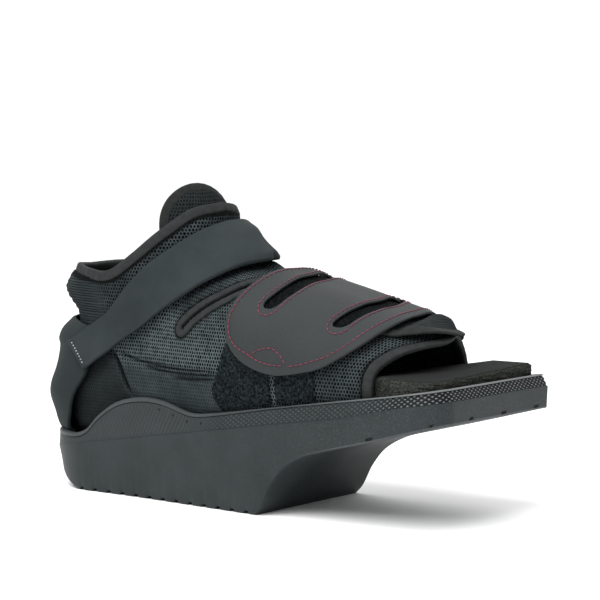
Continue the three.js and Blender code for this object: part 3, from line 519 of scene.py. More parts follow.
heel_reach = FORM[0, 1] - FOOTBED_ASIDE
bed_heel = FORM_HEEL - heel_reach * np.cos(np.radians(np.linspace(0, 88, 26)))
bed_nose = FOOTBED_FRONT - FOOTBED_NOSE * (1 - np.sin(np.radians(np.linspace(2, 90, 26))))
bed_stations = np.concatenate([bed_heel, np.arange(40, 236, 2.0), np.arange(236, 254.5, 0.7), bed_nose])
bed_round = np.radians(np.linspace(0, 90, 7)[1:])
bed_insets = np.concatenate([np.zeros(CUT_ROWS), FOOTBED_ROUND * (1 - np.cos(bed_round))])[:, None]
bed_share = np.concatenate([np.linspace(0, 1, CUT_ROWS), np.ones(len(bed_round))])[:, None]
bed_rise = np.concatenate([np.zeros(CUT_ROWS), FOOTBED_ROUND * np.sin(bed_round)])[:, None]
bed_x = bed_stations + bed_insets * np.maximum(FORM_HEEL - bed_stations, 0) / heel_reach
bed_x = bed_x - bed_insets * ease(bed_stations, 240, FOOTBED_FRONT)


def bed_row(side):
    """One side of the footbed's rows, from the cup's floor up the cut side and over the round edge."""
    top = np.minimum(cup_floor(bed_x) + FOOTBED_THICK, FOOTBED_TOE_TOP[side]) - FOOTBED_ROUND
    z = mix(cup_floor(bed_x) + SEAT_GAP, top, bed_share) + bed_rise
    return np.stack([bed_x, SIDE_SIGN[side] * footbed_half(bed_x, side, bed_insets), z], -1)


bed_side = {side: bed_row(side) for side in TOE_CORNER}
bed_ring, bed_out = slab_ring(bed_side, BED_STEPS)
rough = 0.35 * ripple(bed_ring * [1, 1, 2.2], 5, 3) + 0.3 * ripple(bed_ring * [1, 1, 3], 2.6, 4)
torn = ease(bed_ring[..., 0], 232, 245) * (bed_share > 0.05) * (bed_rise < 1.5)
bed_ring = bed_ring + bed_out * (torn * (rough - 0.35))[..., None]
bed_points, bed_faces, bed_count = slab_mesh(bed_ring, bed_side, BED_STEPS)
cut_rows = np.broadcast_to(bed_rise < 0.9, bed_ring.shape[:2])
cut_side = np.concatenate([cut_rows.ravel(), np.ones(bed_count), np.zeros(bed_count)])

foam, tree, shader = finish("footbed_foam", 0.95, 0.05)
cell = grain(tree, 1500, 3.0)
crumb = grain(tree, 420, 3.0)
foam_colour = colours(between(cell, 0.35, 0.7), (0.017, 0.018, 0.016), (0.062, 0.066, 0.058))
foam_colour = colours(between(crumb, 0.55, 0.72), foam_colour, (0.030, 0.029, 0.025))
face_colour = colours(between(cell, 0.3, 0.7), (0.016, 0.017, 0.017), (0.028, 0.029, 0.028))
bed_colour = colours(layer_value(tree, "cut"), face_colour, foam_colour)
surface(shader, bed_colour, plus(cell, crumb), 0.0007)
footbed = make_piece("footbed_slab", bed_points, bed_faces, foam, cut=cut_side)
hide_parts("footbed")

# Upper
# One wall of padded spacer mesh, shaped over a form, sewn up at the heel and glued into the sole's cup.
# It is open at the ankle and over the toes, has a slit on the outer side of the instep, and creases above
# the rim.
WALL = 3.0
ANKLE_AXIS = 56.0
BINDING_WIDTH = 5.8
BINDING_PROUD = 0.4
# how far a tape laps over the wall that it binds, and how far its seam lies inside the wall's edge
TAPE_LAP = 1.2
SEAM_OFF = 1.9
# how much narrower the tape and the wall are where the toe opening's edge is squeezed
TOE_TAPE_SLIM = 1.3
TOE_WALL_SLIM = 1.2
INSTEP_ROUND = 40.0
VAMP_AXIS = 45.0
VAMP_AXIS_TOP = 70.0
# the swelling of the instep between the ankle strap and the flap: its middle, its spread and its height
SWELL_MIDDLE = np.array([133, 7, 124])
SWELL_SPREAD = np.array([5, 9, 9])
SWELL_HEIGHT = 2.8
# z, then the back, the front and the half width of the form's ankle
ANKLE = np.array(
    [
        [40, 12, 90, 28],
        [80, 7.5, 104, 32],
        [95, 8, 108, 34],
        [108, -1.6, 111, 36],
        [116, 2, 111, 36.5],
        [122, 8, 111, 36.5],
        [140, 14, 110, 36],
        [155, 18, 105, 35],
        [172, 22, 93, 34],
    ]
)
# turn from the front of the ankle in degrees, then the height of the collar
COLLAR = np.array(
    [[0, 158.4], [25, 155], [45, 144.7], [70, 130.7], [95, 121.3], [125, 121.8], [150, 123.5], [180, 122.5]]
)
# turn from the top in degrees, towards the inner side, then how far forward the toe opening reaches
TOE_EDGE = np.array(
    [
        [-97, 233.5],
        [-80, 234],
        [-66, 240.5],
        [-50, 248.5],
        [-30, 252],
        [0, 250.5],
        [20, 248],
        [40, 243],
        [65, 236],
        [97, 232.5],
    ]
)
TOE_LOWEST = 97.0
# x, then the turn of the slit
SLIT = np.array([[107.5, -50.5], [113, -45.5], [122, -41], [133, -36.5], [140, -31.5], [147, -24.5]])
SLIT_HALF = 1.3
SLIT_TAPE = 4.2
# x, then the height of the long crease on the outer side
CREASE = np.array([[52, 78], [70, 73.6], [84, 72.5], [97, 71.5], [115, 71], [140, 72.5]])
COLLAR_PLEATS = (114.8, 111.6, 108.4, 105.9, 102.8, 99.8, 97.2)


def form_parts(p):
    """Distances to the form's lower part, an arch rounded over its plan, and to its ankle, an oval shaft;
    before them the arch's distances aside and upwards, and after them the width of the fillet between."""
    x, y, z = p[..., 0], p[..., 1], p[..., 2]
    lateral = curve(FORM, 1, x)
    medial = curve(FORM, 2, x)
    tuck = 6 * np.exp(-np.maximum(z - cup_floor(x), 0) / 12)
    side = np.hypot(np.minimum(x - FORM_HEEL, 0), y - (medial - lateral) / 2)
    a = side - ((lateral + medial) / 2 - tuck) + INSTEP_ROUND
    b = 0.97 * (z - curve(FORM, 3, x)) + INSTEP_ROUND
    arch = np.minimum(np.maximum(a, b), 0) + np.hypot(np.maximum(a, 0), np.maximum(b, 0)) - INSTEP_ROUND
    back = curve(ANKLE, 1, z)
    front = curve(ANKLE, 2, z)
    half = curve(ANKLE, 3, z)
    shaft = half * (np.hypot((2 * x - back - front) / (front - back), y / half) - 1)
    return a, b, arch, shaft, 6 + 22 * ease(x, 60, 110)


def form_distance(p):
    """Distance out of the upper's face: the nearer of arch and shaft, less a fillet where they are close."""
    _, _, arch, shaft, fillet = form_parts(p)
    near = np.maximum(fillet - np.abs(arch - shaft), 0) / fillet
    return np.minimum(arch, shaft) - near * near * fillet / 4


def outward(p):
    """The direction straight out of the form, from differences of the distance."""
    steps = 0.05 * np.eye(3)
    slope = np.stack([form_distance(p + step) - form_distance(p - step) for step in steps], -1)
    return unit(slope)


def come_out(origin, way):
    """Where rays from inside the form come out: marched in even steps, then halved down to the surface."""
    origin, way = np.broadcast_arrays(origin, way)
    way = unit(way)
    far = np.full(way.shape[:-1], 2.0)
    for _ in range(60):
        inside = form_distance(origin + way * far[..., None]) < 0
        if not inside.any():
            break
        far = np.where(inside, far + 2, far)
    near = far - 2
    for _ in range(20):
        middle = (near + far) / 2
        inside = form_distance(origin + way * middle[..., None]) < 0
        near = np.where(inside, middle, near)
        far = np.where(inside, far, middle)
    p = origin + way * far[..., None]
    return p, outward(p)


def on_ankle(turn, z):
    """Places on the ankle, by the turn from its front in degrees and the height."""
    turn, z = np.broadcast_arrays(np.radians(turn), np.asarray(z, float))
    origin = np.stack([np.full(z.shape, ANKLE_AXIS), 0 * z, z], -1)
    return come_out(origin, np.stack([np.cos(turn), np.sin(turn), 0 * z], -1))


def vamp_axis(x):
    """Height of the line that the forefoot's places are turned around."""
    return np.minimum(VAMP_AXIS + CUP_SLOPE * x, VAMP_AXIS_TOP)


def on_vamp(x, turn):
    """Places on the forefoot, by the distance from the heel and the turn from the top in degrees."""
    x, turn = np.broadcast_arrays(np.asarray(x, float), np.radians(turn))
    origin = np.stack([x, 0 * x, vamp_axis(x)], -1)
    return come_out(origin, np.stack([0 * x, np.sin(turn), np.cos(turn)], -1))


def collar_place(turn):
    """Places along the collar's edge."""
    return on_ankle(turn, curve(COLLAR, 1, np.abs(turn)))


def toe_place(turn):
    """Places along the edge of the toe opening."""
    return on_vamp(curve(TOE_EDGE, 1, turn), turn)


def toe_slim(turn):
    """How far the toe opening's edge is squeezed thin: wholly over the top, not at all down the sides."""
    return ease(turn, -78, -45) * (1 - ease(turn, 25, 60))


def tape_reach(place, turn, line, width):
    """How far along a line the tape's inner edge lies from the wall's edge, which it meets at a slant."""
    chord = place(turn + 1)[0] - place(turn - 1)[0]
    along = chord @ line / np.linalg.norm(chord, axis=-1)
    return (width - TAPE_LAP) / np.sqrt(1 - along**2)


def upper_rays(share, sign):
    """Rays for the low end and the collar end of each line up the wall: share 0 to 1 runs down the toe
    opening, 1 to 2 back along the sole's cup, and 2 to 3 round the heel."""
    zero = 0 * share
    toe_turn = sign * TOE_LOWEST * np.minimum(share, 1)
    toe_width = BINDING_WIDTH - TOE_TAPE_SLIM * toe_slim(toe_turn)
    toe_x = curve(TOE_EDGE, 1, toe_turn) - tape_reach(toe_place, toe_turn, np.array([1.0, 0, 0]), toe_width)
    side_x = mix(curve(TOE_EDGE, 1, sign * TOE_LOWEST) - 4, FORM_HEEL, np.clip(share - 1, 0, 1))
    heel_turn = np.radians(mix(90, 180, np.clip(share - 2, 0, 1)))
    x = np.where(share < 1, toe_x, side_x)
    low_x = np.where(share < 2, side_x, FORM_HEEL + 28 * np.cos(heel_turn))
    z = np.where(share < 1, vamp_axis(toe_x), cup_floor(low_x) + SEAT_GAP)
    toe_way = np.stack([zero, np.sin(np.radians(toe_turn)), np.cos(np.radians(toe_turn))], -1)
    heel_way = np.stack([np.cos(heel_turn), sign * np.sin(heel_turn), zero], -1)
    low_way = np.where((share < 1)[:, None], toe_way, heel_way)
    turn = np.interp(share, [0, 1, 2, 3], [0, 35, 125, 180])
    below = tape_reach(collar_place, turn, np.array([0, 0, 1.0]), BINDING_WIDTH)
    high = np.stack([np.full(share.shape, ANKLE_AXIS), zero, curve(COLLAR, 1, turn) - below], -1)
    high_way = np.stack([np.cos(np.radians(turn)), sign * np.sin(np.radians(turn)), zero], -1)
    return np.stack([x, zero, z], -1), low_way, high, high_way


def upper_half(share, sign, rows):
    """One half of the upper: rays turned evenly from each line's low end to the collar."""
    low, low_way, high, high_way = (part[:, None] for part in upper_rays(share, sign))
    t = rows[None, :, None]
    return come_out(mix(low, high, t), mix(low_way, high_way, t))


def weave_place(p):
    """Distances along and up the cloth: on the arch, x and the arc of the heel along, and the girth over it
    upwards; on the ankle, the arc round its oval shaft along, and the height upwards."""
    a, b, arch, shaft, fillet = form_parts(p)
    behind = np.maximum(FORM_HEEL - p[..., 0], 0)
    arc = np.hypot(behind, p[..., 1]) * np.arctan2(behind, np.abs(p[..., 1]) + 1e-6)
    turn = np.arctan2(np.abs(p[..., 1]), p[..., 0] - ANKLE_AXIS)
    round_ankle = ANKLE_AXIS + 44 * (np.pi / 2 - turn) - 4 * np.sin(2 * turn)
    corner = np.arctan2(np.maximum(b, 0), np.maximum(a, 1e-6))
    over = p[..., 2] - np.maximum(b, 0) + INSTEP_ROUND * corner - np.minimum(a, 0)
    on_arch = ease(shaft - arch, -fillet, fillet)
    along = mix(round_ankle, np.maximum(p[..., 0], FORM_HEEL) - arc, on_arch)
    return np.stack([along, mix(p[..., 2], over, on_arch), 0 * along], -1)


def two_faces(outer, inner, faces):
    """A wall with an outer and an inner face, closed by a strip along every open edge of the outer one."""
    count = len(outer)
    edges = np.concatenate([faces[:, [k, (k + 1) % 4]] for k in range(4)])
    code = np.sort(edges, axis=1) @ [count, 1]
    _, first, uses = np.unique(code, return_index=True, return_counts=True)
    rim = edges[first[uses == 1]]
    strip = np.stack([rim[:, 1], rim[:, 0], rim[:, 0] + count, rim[:, 1] + count], -1)
    return np.concatenate([outer, inner]), np.concatenate([faces, faces[:, ::-1] + count, strip])


def bell(off, spread):
    """A bell curve: 1 at no distance, and fading with the square of the distance over its spread."""
    return np.exp(-((off / spread) ** 2))


def crease_lines(p):
    """Where the mesh is pinched on the outer side: three lines side by side above the rim, and a slanted one
    that crosses their rear end; each 0 to 1. Also the distance to the first and to the slanted line."""
    x, z = p[..., 0], p[..., 2]
    lateral = ease(-p[..., 1], 5, 25)
    off = z - curve(CREASE, 1, x)
    pinch = bell(off, 0.9) * ease(x, 52, 64) * (1 - ease(x, 118, 140))
    pinch += bell(off + 2.3, 0.8) * ease(x, 74, 86) * (1 - ease(x, 124, 142))
    pinch += 0.8 * bell(off + 4.5, 0.8) * ease(x, 98, 110) * (1 - ease(x, 126, 142))
    aside = (x - 51) * 0.78 + (z - 79) * 0.62
    slant = bell(aside, 1.2) * bell((z - 67) ** 2, 11**2)
    return pinch * lateral, slant * lateral, off, aside


def upper_folds(p):
    """How far creases push the mesh out: the pinched lines with a puff above them, the slanted fold with a
    roll on both sides, flat pleats round the back of the collar, and slack all over."""
    x, z = p[..., 0], p[..., 2]
    pinch, slant, off, aside = crease_lines(p)
    lateral = ease(-p[..., 1], 5, 25)
    puff = bell(off - 4, 3) * ease(x, 58, 80) * (1 - ease(x, 130, 150))
    rolls = (bell(aside - 3.6, 2) + 0.6 * bell(aside + 4, 2)) * bell((z - 67) ** 2, 12**2)
    back = 1 - ease(x, 34, 62)
    pleats = sum(bell(z - at, 0.9) for at in COLLAR_PLEATS)
    slack = 0.35 * ripple(p, 30, 11) + 0.15 * ripple(p, 12, 12)
    return lateral * (0.7 * puff + rolls) - 1.3 * pinch - 1.8 * slant - 0.6 * pleats * back + slack


def mesh_look(p, past_seam):
    """How open the mesh looks: holes drawn wide above the crease and at the toe, closing below the crease
    and round the collar's back; where the cloth lies in fine level pleats; and how far it is painted dark:
    painted shade below the crease, round the collar's back, behind the slanted fold, towards the toe, higher
    up and in the creases, a painted shadow of the ankle strap above the slit, and along the seams beside
    the tapes a dark seam with painted shade of its groove."""
    x, z = p[..., 0], p[..., 2]
    pinch, slant, off, aside = crease_lines(p)
    low = (1 - ease(off, -7, 0)) * (1 - ease(x, 140, 175))
    pleated = (1 - ease(x, 34, 56)) * ease(z, 90, 96)
    behind = (1 - ease(aside, -3, 1)) * (1 - ease(z, 80, 90))
    wide = (1 - 0.5 * low) * (1 - 0.8 * pleated)
    # Painted shade: the mesh is darkened below the crease, round the collar's back, behind the slanted fold,
    # towards the toe and higher up.
    dark = np.maximum(0.56 * low, 0.6 * (1 - ease(x, 60, 90)) * ease(z, 84, 96))
    dark = np.maximum(np.maximum(dark, 0.8 * behind), 0.42 * ease(x, 170, 215))
    dark = np.maximum(dark, 0.15 * ease(z, 80, 92) + 0.25 * ease(z, 112, 125))
    # Painted shadow of the ankle strap on the mesh above the slit.
    painted_strap_shadow = ease(z - 98 - 0.5 * (x - SLIT[0, 0]), 1, 4) * ease(x, 96, 106)
    dark = np.maximum(dark, painted_strap_shadow * mix(0.64, 0.3, ease(x, 114, 134)))
    # A dark seam beside each tape, partly painted shade of the seam's groove.
    seam = bell(np.maximum(past_seam, 0), 0.75)
    # The crease lines and the slanted fold are darkened too: painted shade.
    return np.stack([wide, pleated, np.clip(dark + 0.7 * pinch + 0.8 * slant + 0.9 * seam, 0, 0.95)], -1)


toe_share = np.linspace(0, 1, 49)
toe_share[-1] -= 1e-6
heel_share = np.linspace(2, 3, 35)[1:]
upper_rows = np.linspace(0, 1, 108)
lateral_share = np.concatenate([toe_share, np.linspace(1, 2, 171)[1:], heel_share])
medial_share = np.concatenate([toe_share, np.linspace(1, 2, 71)[1:], heel_share])[1:-1]
lateral_p, lateral_n = upper_half(lateral_share, -1.0, upper_rows)
medial_p, medial_n = upper_half(medial_share, 1.0, upper_rows)
wall_p = np.concatenate([lateral_p, medial_p[::-1]])
wall_n = np.concatenate([lateral_n, medial_n[::-1]])
slit_x = np.linspace(SLIT[0, 0], SLIT[-1, 0], 60)
slit_p, slit_n = on_vamp(slit_x, curve(SLIT, 1, slit_x))
wall_flat = wall_p.reshape(-1, 3)
slit_near = np.linalg.norm(wall_flat[:, None] - slit_p[None], axis=-1).min(1)
wall_faces = grid_faces(*wall_p.shape[:2], round_rows=True)
wall_faces = wall_faces[(slit_near[wall_faces] > SLIT_TAPE).all(1)]
away_from_rim = ease(wall_flat[:, 2] - rim_height(wall_flat[:, 0]), 1, 6)
away_from_ends = np.minimum(upper_rows * 9, 1) * np.minimum((1 - upper_rows) * 9, 1)
folds = upper_folds(wall_flat) * away_from_rim * np.tile(away_from_ends, len(wall_p))
folds *= ease(slit_near, 4.5, 10)
instep_swell = SWELL_HEIGHT * bell(wall_flat - SWELL_MIDDLE, SWELL_SPREAD).prod(-1)
wall_way = wall_n.reshape(-1, 3)
wall_out = wall_flat + wall_way * (np.minimum(folds, 1.0) + instep_swell)[:, None]
line_turn = np.concatenate([-lateral_share, medial_share[::-1]]) * TOE_LOWEST
wall_thin = TOE_WALL_SLIM * toe_slim(line_turn)[:, None] * (1 - ease(upper_rows, 0.02, 0.12))
wall_deep = WALL - 0.5 * np.minimum(folds, 0) - wall_thin.ravel()
wall_in = wall_flat - wall_way * wall_deep[:, None]
upper_points, upper_faces = two_faces(wall_out, wall_in, wall_faces)


floored = arithmetic("FLOOR")
remainder = arithmetic("FLOORED_MODULO")
larger = arithmetic("MAXIMUM")


def mesh_cloth(name, thread, shade, hole, pitch=1.77, row=1.9, size=(0.52, 0.7)):
    """Spacer mesh: staggered rows of oval holes, pitch apart along a row, in soft thread with a fine twist.
    The mesh's look closes the holes or turns them into level pleats whose furrows are painted dark as shade,
    and its painted shade darkens the yarn towards the holes' colour."""
    material, tree, shader = finish(name, 0.9, 0.06)
    along, up, _ = layer_parts(tree, "weave")
    wide, pleated, painted_shade = layer_parts(tree, "look")
    wander = times_plus(grain(tree, 240, 1.0), 0.5, -0.25)
    lift = divided(plus(up, wander), row)
    shift = times(remainder(floored(lift), 2.0), 0.5)
    step = plus(divided(plus(along, wander), pitch), shift)
    off_along = times(less(fraction(step), 0.5), pitch / size[0])
    off_up = times(less(fraction(lift), 0.5), row / size[1])
    off = plus(power(off_along, 2.0), power(off_up, 2.0))
    cell = node(tree, "CombineXYZ", floored(step), floored(lift), 0.0)
    off = times(off, times_plus(node(tree, "TexWhiteNoise", cell), 0.7, 0.7))
    opened = times(between(off, 1.8, 0.6), wide)
    # The pleats' furrows take the holes' dark colour: painted shade.
    line = sine(times(plus(up, wander), 4.4))
    opened = larger(opened, times(between(line, 0.3, 1.0), pleated))
    twist = sine(times(plus(along, up), 11.0))
    fibre = grain(tree, 3200, 2.0)
    yarn = colours(between(grain(tree, 38, 3.0), 0.3, 0.7), shade, thread)
    yarn = colours(times(between(fibre, 0.35, 0.75), 0.4), yarn, shade)
    # Painted shade: the yarn darkened towards the holes' colour by the look's third part.
    yarn = colours(painted_shade, yarn, hole)
    height = times_plus(twist, 0.06, times(fibre, 0.3))
    height = less(height, opened)
    surface(shader, colours(opened, yarn, hole), height, 0.0005)
    return material


upper_mesh = mesh_cloth("upper_mesh", (0.100, 0.126, 0.130), (0.058, 0.074, 0.078), (0.0015, 0.002, 0.002))
upper_weave = weave_place(upper_points)
from_ends = np.linalg.norm(wall_p[:, :, None] - wall_p[:, None, [0, -1]], axis=-1).min(-1)
past_seam = np.minimum(from_ends.ravel(), slit_near - SLIT_TAPE) - SEAM_OFF
upper_look = mesh_look(upper_points, np.tile(past_seam, 2))
upper = make_piece("mesh_upper", upper_points, upper_faces, upper_mesh, weave=upper_weave, look=upper_look)
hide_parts("upper")

# Collar, toe and slit bindings
# Folded tapes of ribbed cloth that hide the raw edges of the upper, sewn through in one pass round the
# collar, over the toe opening and around the slit.
# the heights of a tape's two faces above the upper's outer face
WALL_TAPE = (-WALL - BINDING_PROUD, BINDING_PROUD)
SLIT_TAPE_HEIGHTS = (-2.2, 0.8)


def smooth_path(p, closed):
    """Steps along a path, from each point's neighbours on both sides."""
    if closed:
        return np.roll(p, -1, axis=0) - np.roll(p, 1, axis=0)
    return np.gradient(p, axis=0)


def tape(p, n, inward, width, under, over, closed):
    """A folded tape: a flat oval section carried along an edge, with the tape's width lying inwards.
    A slight pucker follows the sewing; open ends shrink to a point."""
    out = unit(np.cross(smooth_path(p, closed), n))
    out *= -np.sign(np.einsum("ij,ij->i", out, inward))[:, None]
    length = run_along(p)
    angle = np.linspace(0, 2 * np.pi, 28, endpoint=False)
    flat = np.sign(np.cos(angle)) * np.abs(np.cos(angle)) ** 0.55
    tall = np.sign(np.sin(angle)) * np.abs(np.sin(angle)) ** 0.6
    sewn = np.sin(2 * np.pi * length / 5.3 + np.sin(length / 9))[:, None]
    pucker = 1 + 0.05 * sewn * (np.sin(angle) > 0)
    width, under, over = (np.broadcast_to(size, len(p))[:, None] for size in (width, under, over))
    aside = width / 2 * (flat - 1)
    above = (under + over) / 2 + (over - under) / 2 * tall * pucker
    points = p[:, None] + out[:, None] * aside[..., None] + n[:, None] * above[..., None]
    weave = np.stack(np.broadcast_arrays(length[:, None], width * angle / np.pi, 0.0), -1)
    if not closed:
        ends = points[[0, -1]].mean(1, keepdims=True) + 0 * points[[0, -1]]
        points = np.concatenate([ends[:1], points, ends[1:]])
        weave = np.concatenate([weave[:1], weave, weave[-1:]])
    faces = grid_faces(*points.shape[:2], round_rows=closed, round_columns=True)
    return points.reshape(-1, 3), faces, weave.reshape(-1, 3)


def tape_cloth(name, light, dark):
    """Smooth tape: faint cross ribs along the tape's length, broken by the fibres."""
    material, tree, shader = finish(name, 0.75, 0.1)
    along, _, _ = layer_parts(tree, "weave")
    fibre = grain(tree, 2800, 2.0)
    rib = sine(times_plus(fibre, 1.2, times(along, 7.4)))
    share = times_plus(rib, 0.08, times(grain(tree, 300, 3.0), 1.0))
    height = times_plus(rib, 0.15, times(fibre, 0.4))
    surface(shader, colours(between(share, 0.2, 0.8), dark, light), height, 0.0002)
    return material


def add_binding(name, replaced, path, inward, width, heights, closed, cloth):
    """One binding tape in its place, with the heights of its two faces."""
    points, faces, weave = tape(*path, inward, width, *heights, closed)
    piece = make_piece(name, points, faces, cloth, sharp=1.2, weave=weave)
    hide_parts(replaced)


binding_cloth = tape_cloth("binding_tape", (0.030, 0.033, 0.033), (0.019, 0.021, 0.021))
collar_path = collar_place(np.linspace(-180, 180, 381)[1:])
collar_down = np.broadcast_to([0.0, 0, -1], collar_path[0].shape)
add_binding(
    "collar_tape", "collar_binding", collar_path, collar_down, BINDING_WIDTH, WALL_TAPE, True, binding_cloth
)
toe_turns = np.linspace(-TOE_LOWEST, TOE_LOWEST, 221)
toe_path = toe_place(toe_turns)
toe_wide = BINDING_WIDTH - TOE_TAPE_SLIM * toe_slim(toe_turns)
toe_heights = (WALL_TAPE[0] + TOE_TAPE_SLIM * toe_slim(toe_turns), WALL_TAPE[1])
toe_back = np.broadcast_to([-1.0, 0, 0], toe_path[0].shape)
add_binding("toe_tape", "toe_binding", toe_path, toe_back, toe_wide, toe_heights, False, binding_cloth)


def settle(p):
    """Points near the form brought onto its surface along the slope of the distance."""
    for _ in range(5):
        p = p - outward(p) * form_distance(p)[..., None]
    return p, outward(p)


def long_hole(p, n, half, ends):
    """The outline of a long hole with round ends around a line on the form, and the way to its middle."""
    along = unit(smooth_path(p, False))
    across = np.cross(n, along)
    angle = np.linspace(-90, 90, ends)[:, None] * np.pi / 180
    tip = p[-1] + half * (np.cos(angle) * along[-1] + np.sin(angle) * across[-1])
    tail = p[0] - half * (np.cos(angle) * along[0] + np.sin(angle) * across[0])
    reach = half * across[1:-1]
    outline = np.concatenate([p[1:-1] - reach, tip, (p[1:-1] + reach)[::-1], tail])
    middle = p[np.linalg.norm(outline[:, None] - p[None], axis=-1).argmin(1)]
    placed, normal = settle(outline)
    return placed, normal, placed - middle


*slit_path, slit_away = long_hole(slit_p, slit_n, SLIT_HALF, 9)
add_binding(
    "slit_tape", "slit_binding", slit_path, slit_away, SLIT_TAPE, SLIT_TAPE_HEIGHTS, True, binding_cloth
)

# Tongue
# A tab of the same spacer mesh with a rounded top, sewn inside the front of the collar a little to the outer
# side, with a tape folded over its edge.
TAB_TURN = -8.0
TAB_HALF = 30.0
TAB_SHOULDER = 146.0
TAB_TOP = 171.0
TAB_FOOT = 130.0
TAB_TAPE_FOOT = 134.0
TAB_POWER = 2.1
TAB_RADIUS = 42.0
TAB_THICK = 2.5
TAB_FACE = -WALL - 1.3
# how far the mesh stops inside the tab's edge, and the heights of its tape's two faces
TAB_INSET = 4.0
TAB_TAPE = (-TAB_THICK - BINDING_PROUD, BINDING_PROUD / 2)


def on_tongue(aside, z):
    """Places on the tab's outer face, by the distance from its middle line and the height."""
    p, n = on_ankle(TAB_TURN + np.degrees(aside / TAB_RADIUS), z)
    return p + n * TAB_FACE, n


def tab_edge(angle, half, rise):
    """The tab's round top as a superellipse: distance aside and height above the shoulder."""
    flat = np.sign(np.cos(angle)) * np.abs(np.cos(angle)) ** (2 / TAB_POWER)
    return half * flat, rise * np.abs(np.sin(angle)) ** (2 / TAB_POWER)


def weave_map(along, up):
    """Distances along and up a sheet's cloth, for its outer and its inner face."""
    one_face = np.stack(np.broadcast_arrays(along, up, 0.0), -1).reshape(-1, 3)
    return np.concatenate([one_face, one_face])


tab_round = TAB_TOP - TAB_SHOULDER
tab_angle = np.radians(np.linspace(180, 0, 61))
tab_aside, tab_rise = tab_edge(tab_angle[:, None], TAB_HALF - TAB_INSET, tab_round - TAB_INSET)
tab_rows = np.linspace(0, 1, 34)[None, :]
tab_p, tab_n = on_tongue(tab_aside, mix(TAB_FOOT, TAB_SHOULDER + tab_rise, tab_rows))
tab_swell = 0.3 * ripple(tab_p, 16, 21)[..., None]
tab_out = (tab_p + tab_n * np.minimum(tab_swell, 0.25)).reshape(-1, 3)
tab_in = (tab_p - tab_n * TAB_THICK).reshape(-1, 3)
tab_points, tab_faces = two_faces(tab_out, tab_in, grid_faces(*tab_p.shape[:2]))
tab_weave = weave_map(tab_aside, tab_p[..., 2])
# The tab's mesh is the upper's mesh painted darker: painted shade.
tongue_shaded_mesh = mesh_cloth("tongue_shaded_mesh", (0.026, 0.031, 0.032), (0.016, 0.020, 0.021), (0.002, 0.003, 0.003))
tab_look = np.broadcast_to([0.8, 0.0, 0.0], tab_points.shape)
tongue = make_piece("tongue_tab", tab_points, tab_faces, tongue_shaded_mesh, weave=tab_weave, look=tab_look)
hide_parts("tongue")

side_z = np.linspace(TAB_TAPE_FOOT, TAB_SHOULDER, 13)[:-1]
round_aside, round_rise = tab_edge(np.radians(np.linspace(180, 0, 121)), TAB_HALF, tab_round)
edge_aside = np.concatenate([0 * side_z - TAB_HALF, round_aside, 0 * side_z + TAB_HALF])
edge_z = np.concatenate([side_z, TAB_SHOULDER + round_rise, side_z[::-1]])
tongue_path = on_tongue(edge_aside, edge_z)
tongue_cloth = tape_cloth("tongue_tape", (0.020, 0.022, 0.022), (0.013, 0.014, 0.014))
tongue_in = on_tongue(np.array(0.0), np.array(TAB_SHOULDER))[0] - tongue_path[0]
add_binding(
    "tongue_tape", "tongue_binding", tongue_path, tongue_in, BINDING_WIDTH, TAB_TAPE, False, tongue_cloth
)

# Loop patches
# Two fuzzy patches of loop cloth on the upper's outer side, sewn on where the flap's lobe comes down, for
# its hooks to grip.
LOOP_THICK = 0.9
PATCH_LIFT = 0.6
PATCH_KNEE = 0.35
# rear and front edges of each, its top's turn, and how far its rear edge goes forward at top and foot
PATCHES = {
    "loop_patch_rear": (132.0, 171.3, -66.0, 11.0, 5.0),
    "loop_patch_front": (175.2, 200.0, -75.0, 0.0, 0.0),
}


def rim_turn(x, side):
    """The turn at which the upper's face meets the sole's rim."""
    drop = vamp_axis(x) - rim_height(x) - 1.2
    return 90 + np.degrees(np.arctan(drop / (curve(FORM, SIDE_COLUMN[side], x) - 2)))


def edge_spread(count, width):
    """Shares from 0 to 1 over a strip of some width, crowded near both ends, where the edge is round."""
    near = np.array([0, 0.1, 0.35, 0.8, 1.4]) / width
    middle = np.linspace(near[-1], 1 - near[-1], count)
    return np.concatenate([near[:-1], middle, 1 - near[-2::-1]])


def outline_of(p):
    """The points along the four sides of a grid, with seven more put between each two."""
    ring = np.concatenate([p[0], p[1:, -1], p[-1, -2::-1], p[-2::-1, 0]])
    shares = np.linspace(0, 1, 8, endpoint=False)[None, :, None]
    return mix(ring[:-1, None], ring[1:, None], shares).reshape(-1, 3)


def from_edge(p, outline=None):
    """Distance from each point of a grid to the nearest point of an outline, or else of its own outline."""
    if outline is None:
        outline = outline_of(p)
    flat = p.reshape(-1, 3)
    parts = np.array_split(flat, max(len(flat) // 1500, 1))
    near = [np.sqrt(((part[:, None] - outline[None]) ** 2).sum(-1).min(1)) for part in parts]
    return np.concatenate(near).reshape(p.shape[:-1])


def cloth(p, n, under, thick, edge, round_width, relief=0.0):
    """A sheet laid over the form, with under as the height of its underside: its two faces part from the
    edge as a quarter circle does, over the width of the round. Relief is added to the outer face."""
    part = np.minimum(edge / round_width, 1)
    half = thick / 2 * np.sqrt(1 - (1 - part) ** 2)
    middle = under + thick / 2
    outer = p + n * (middle + half + relief * part)[..., None]
    inner = p + n * (middle - half)[..., None]
    count = p.shape[0] * p.shape[1]
    faces = grid_faces(*p.shape[:2])
    points = np.concatenate([outer.reshape(-1, 3), inner.reshape(-1, 3)])
    return points, np.concatenate([faces, faces[:, ::-1] + count])


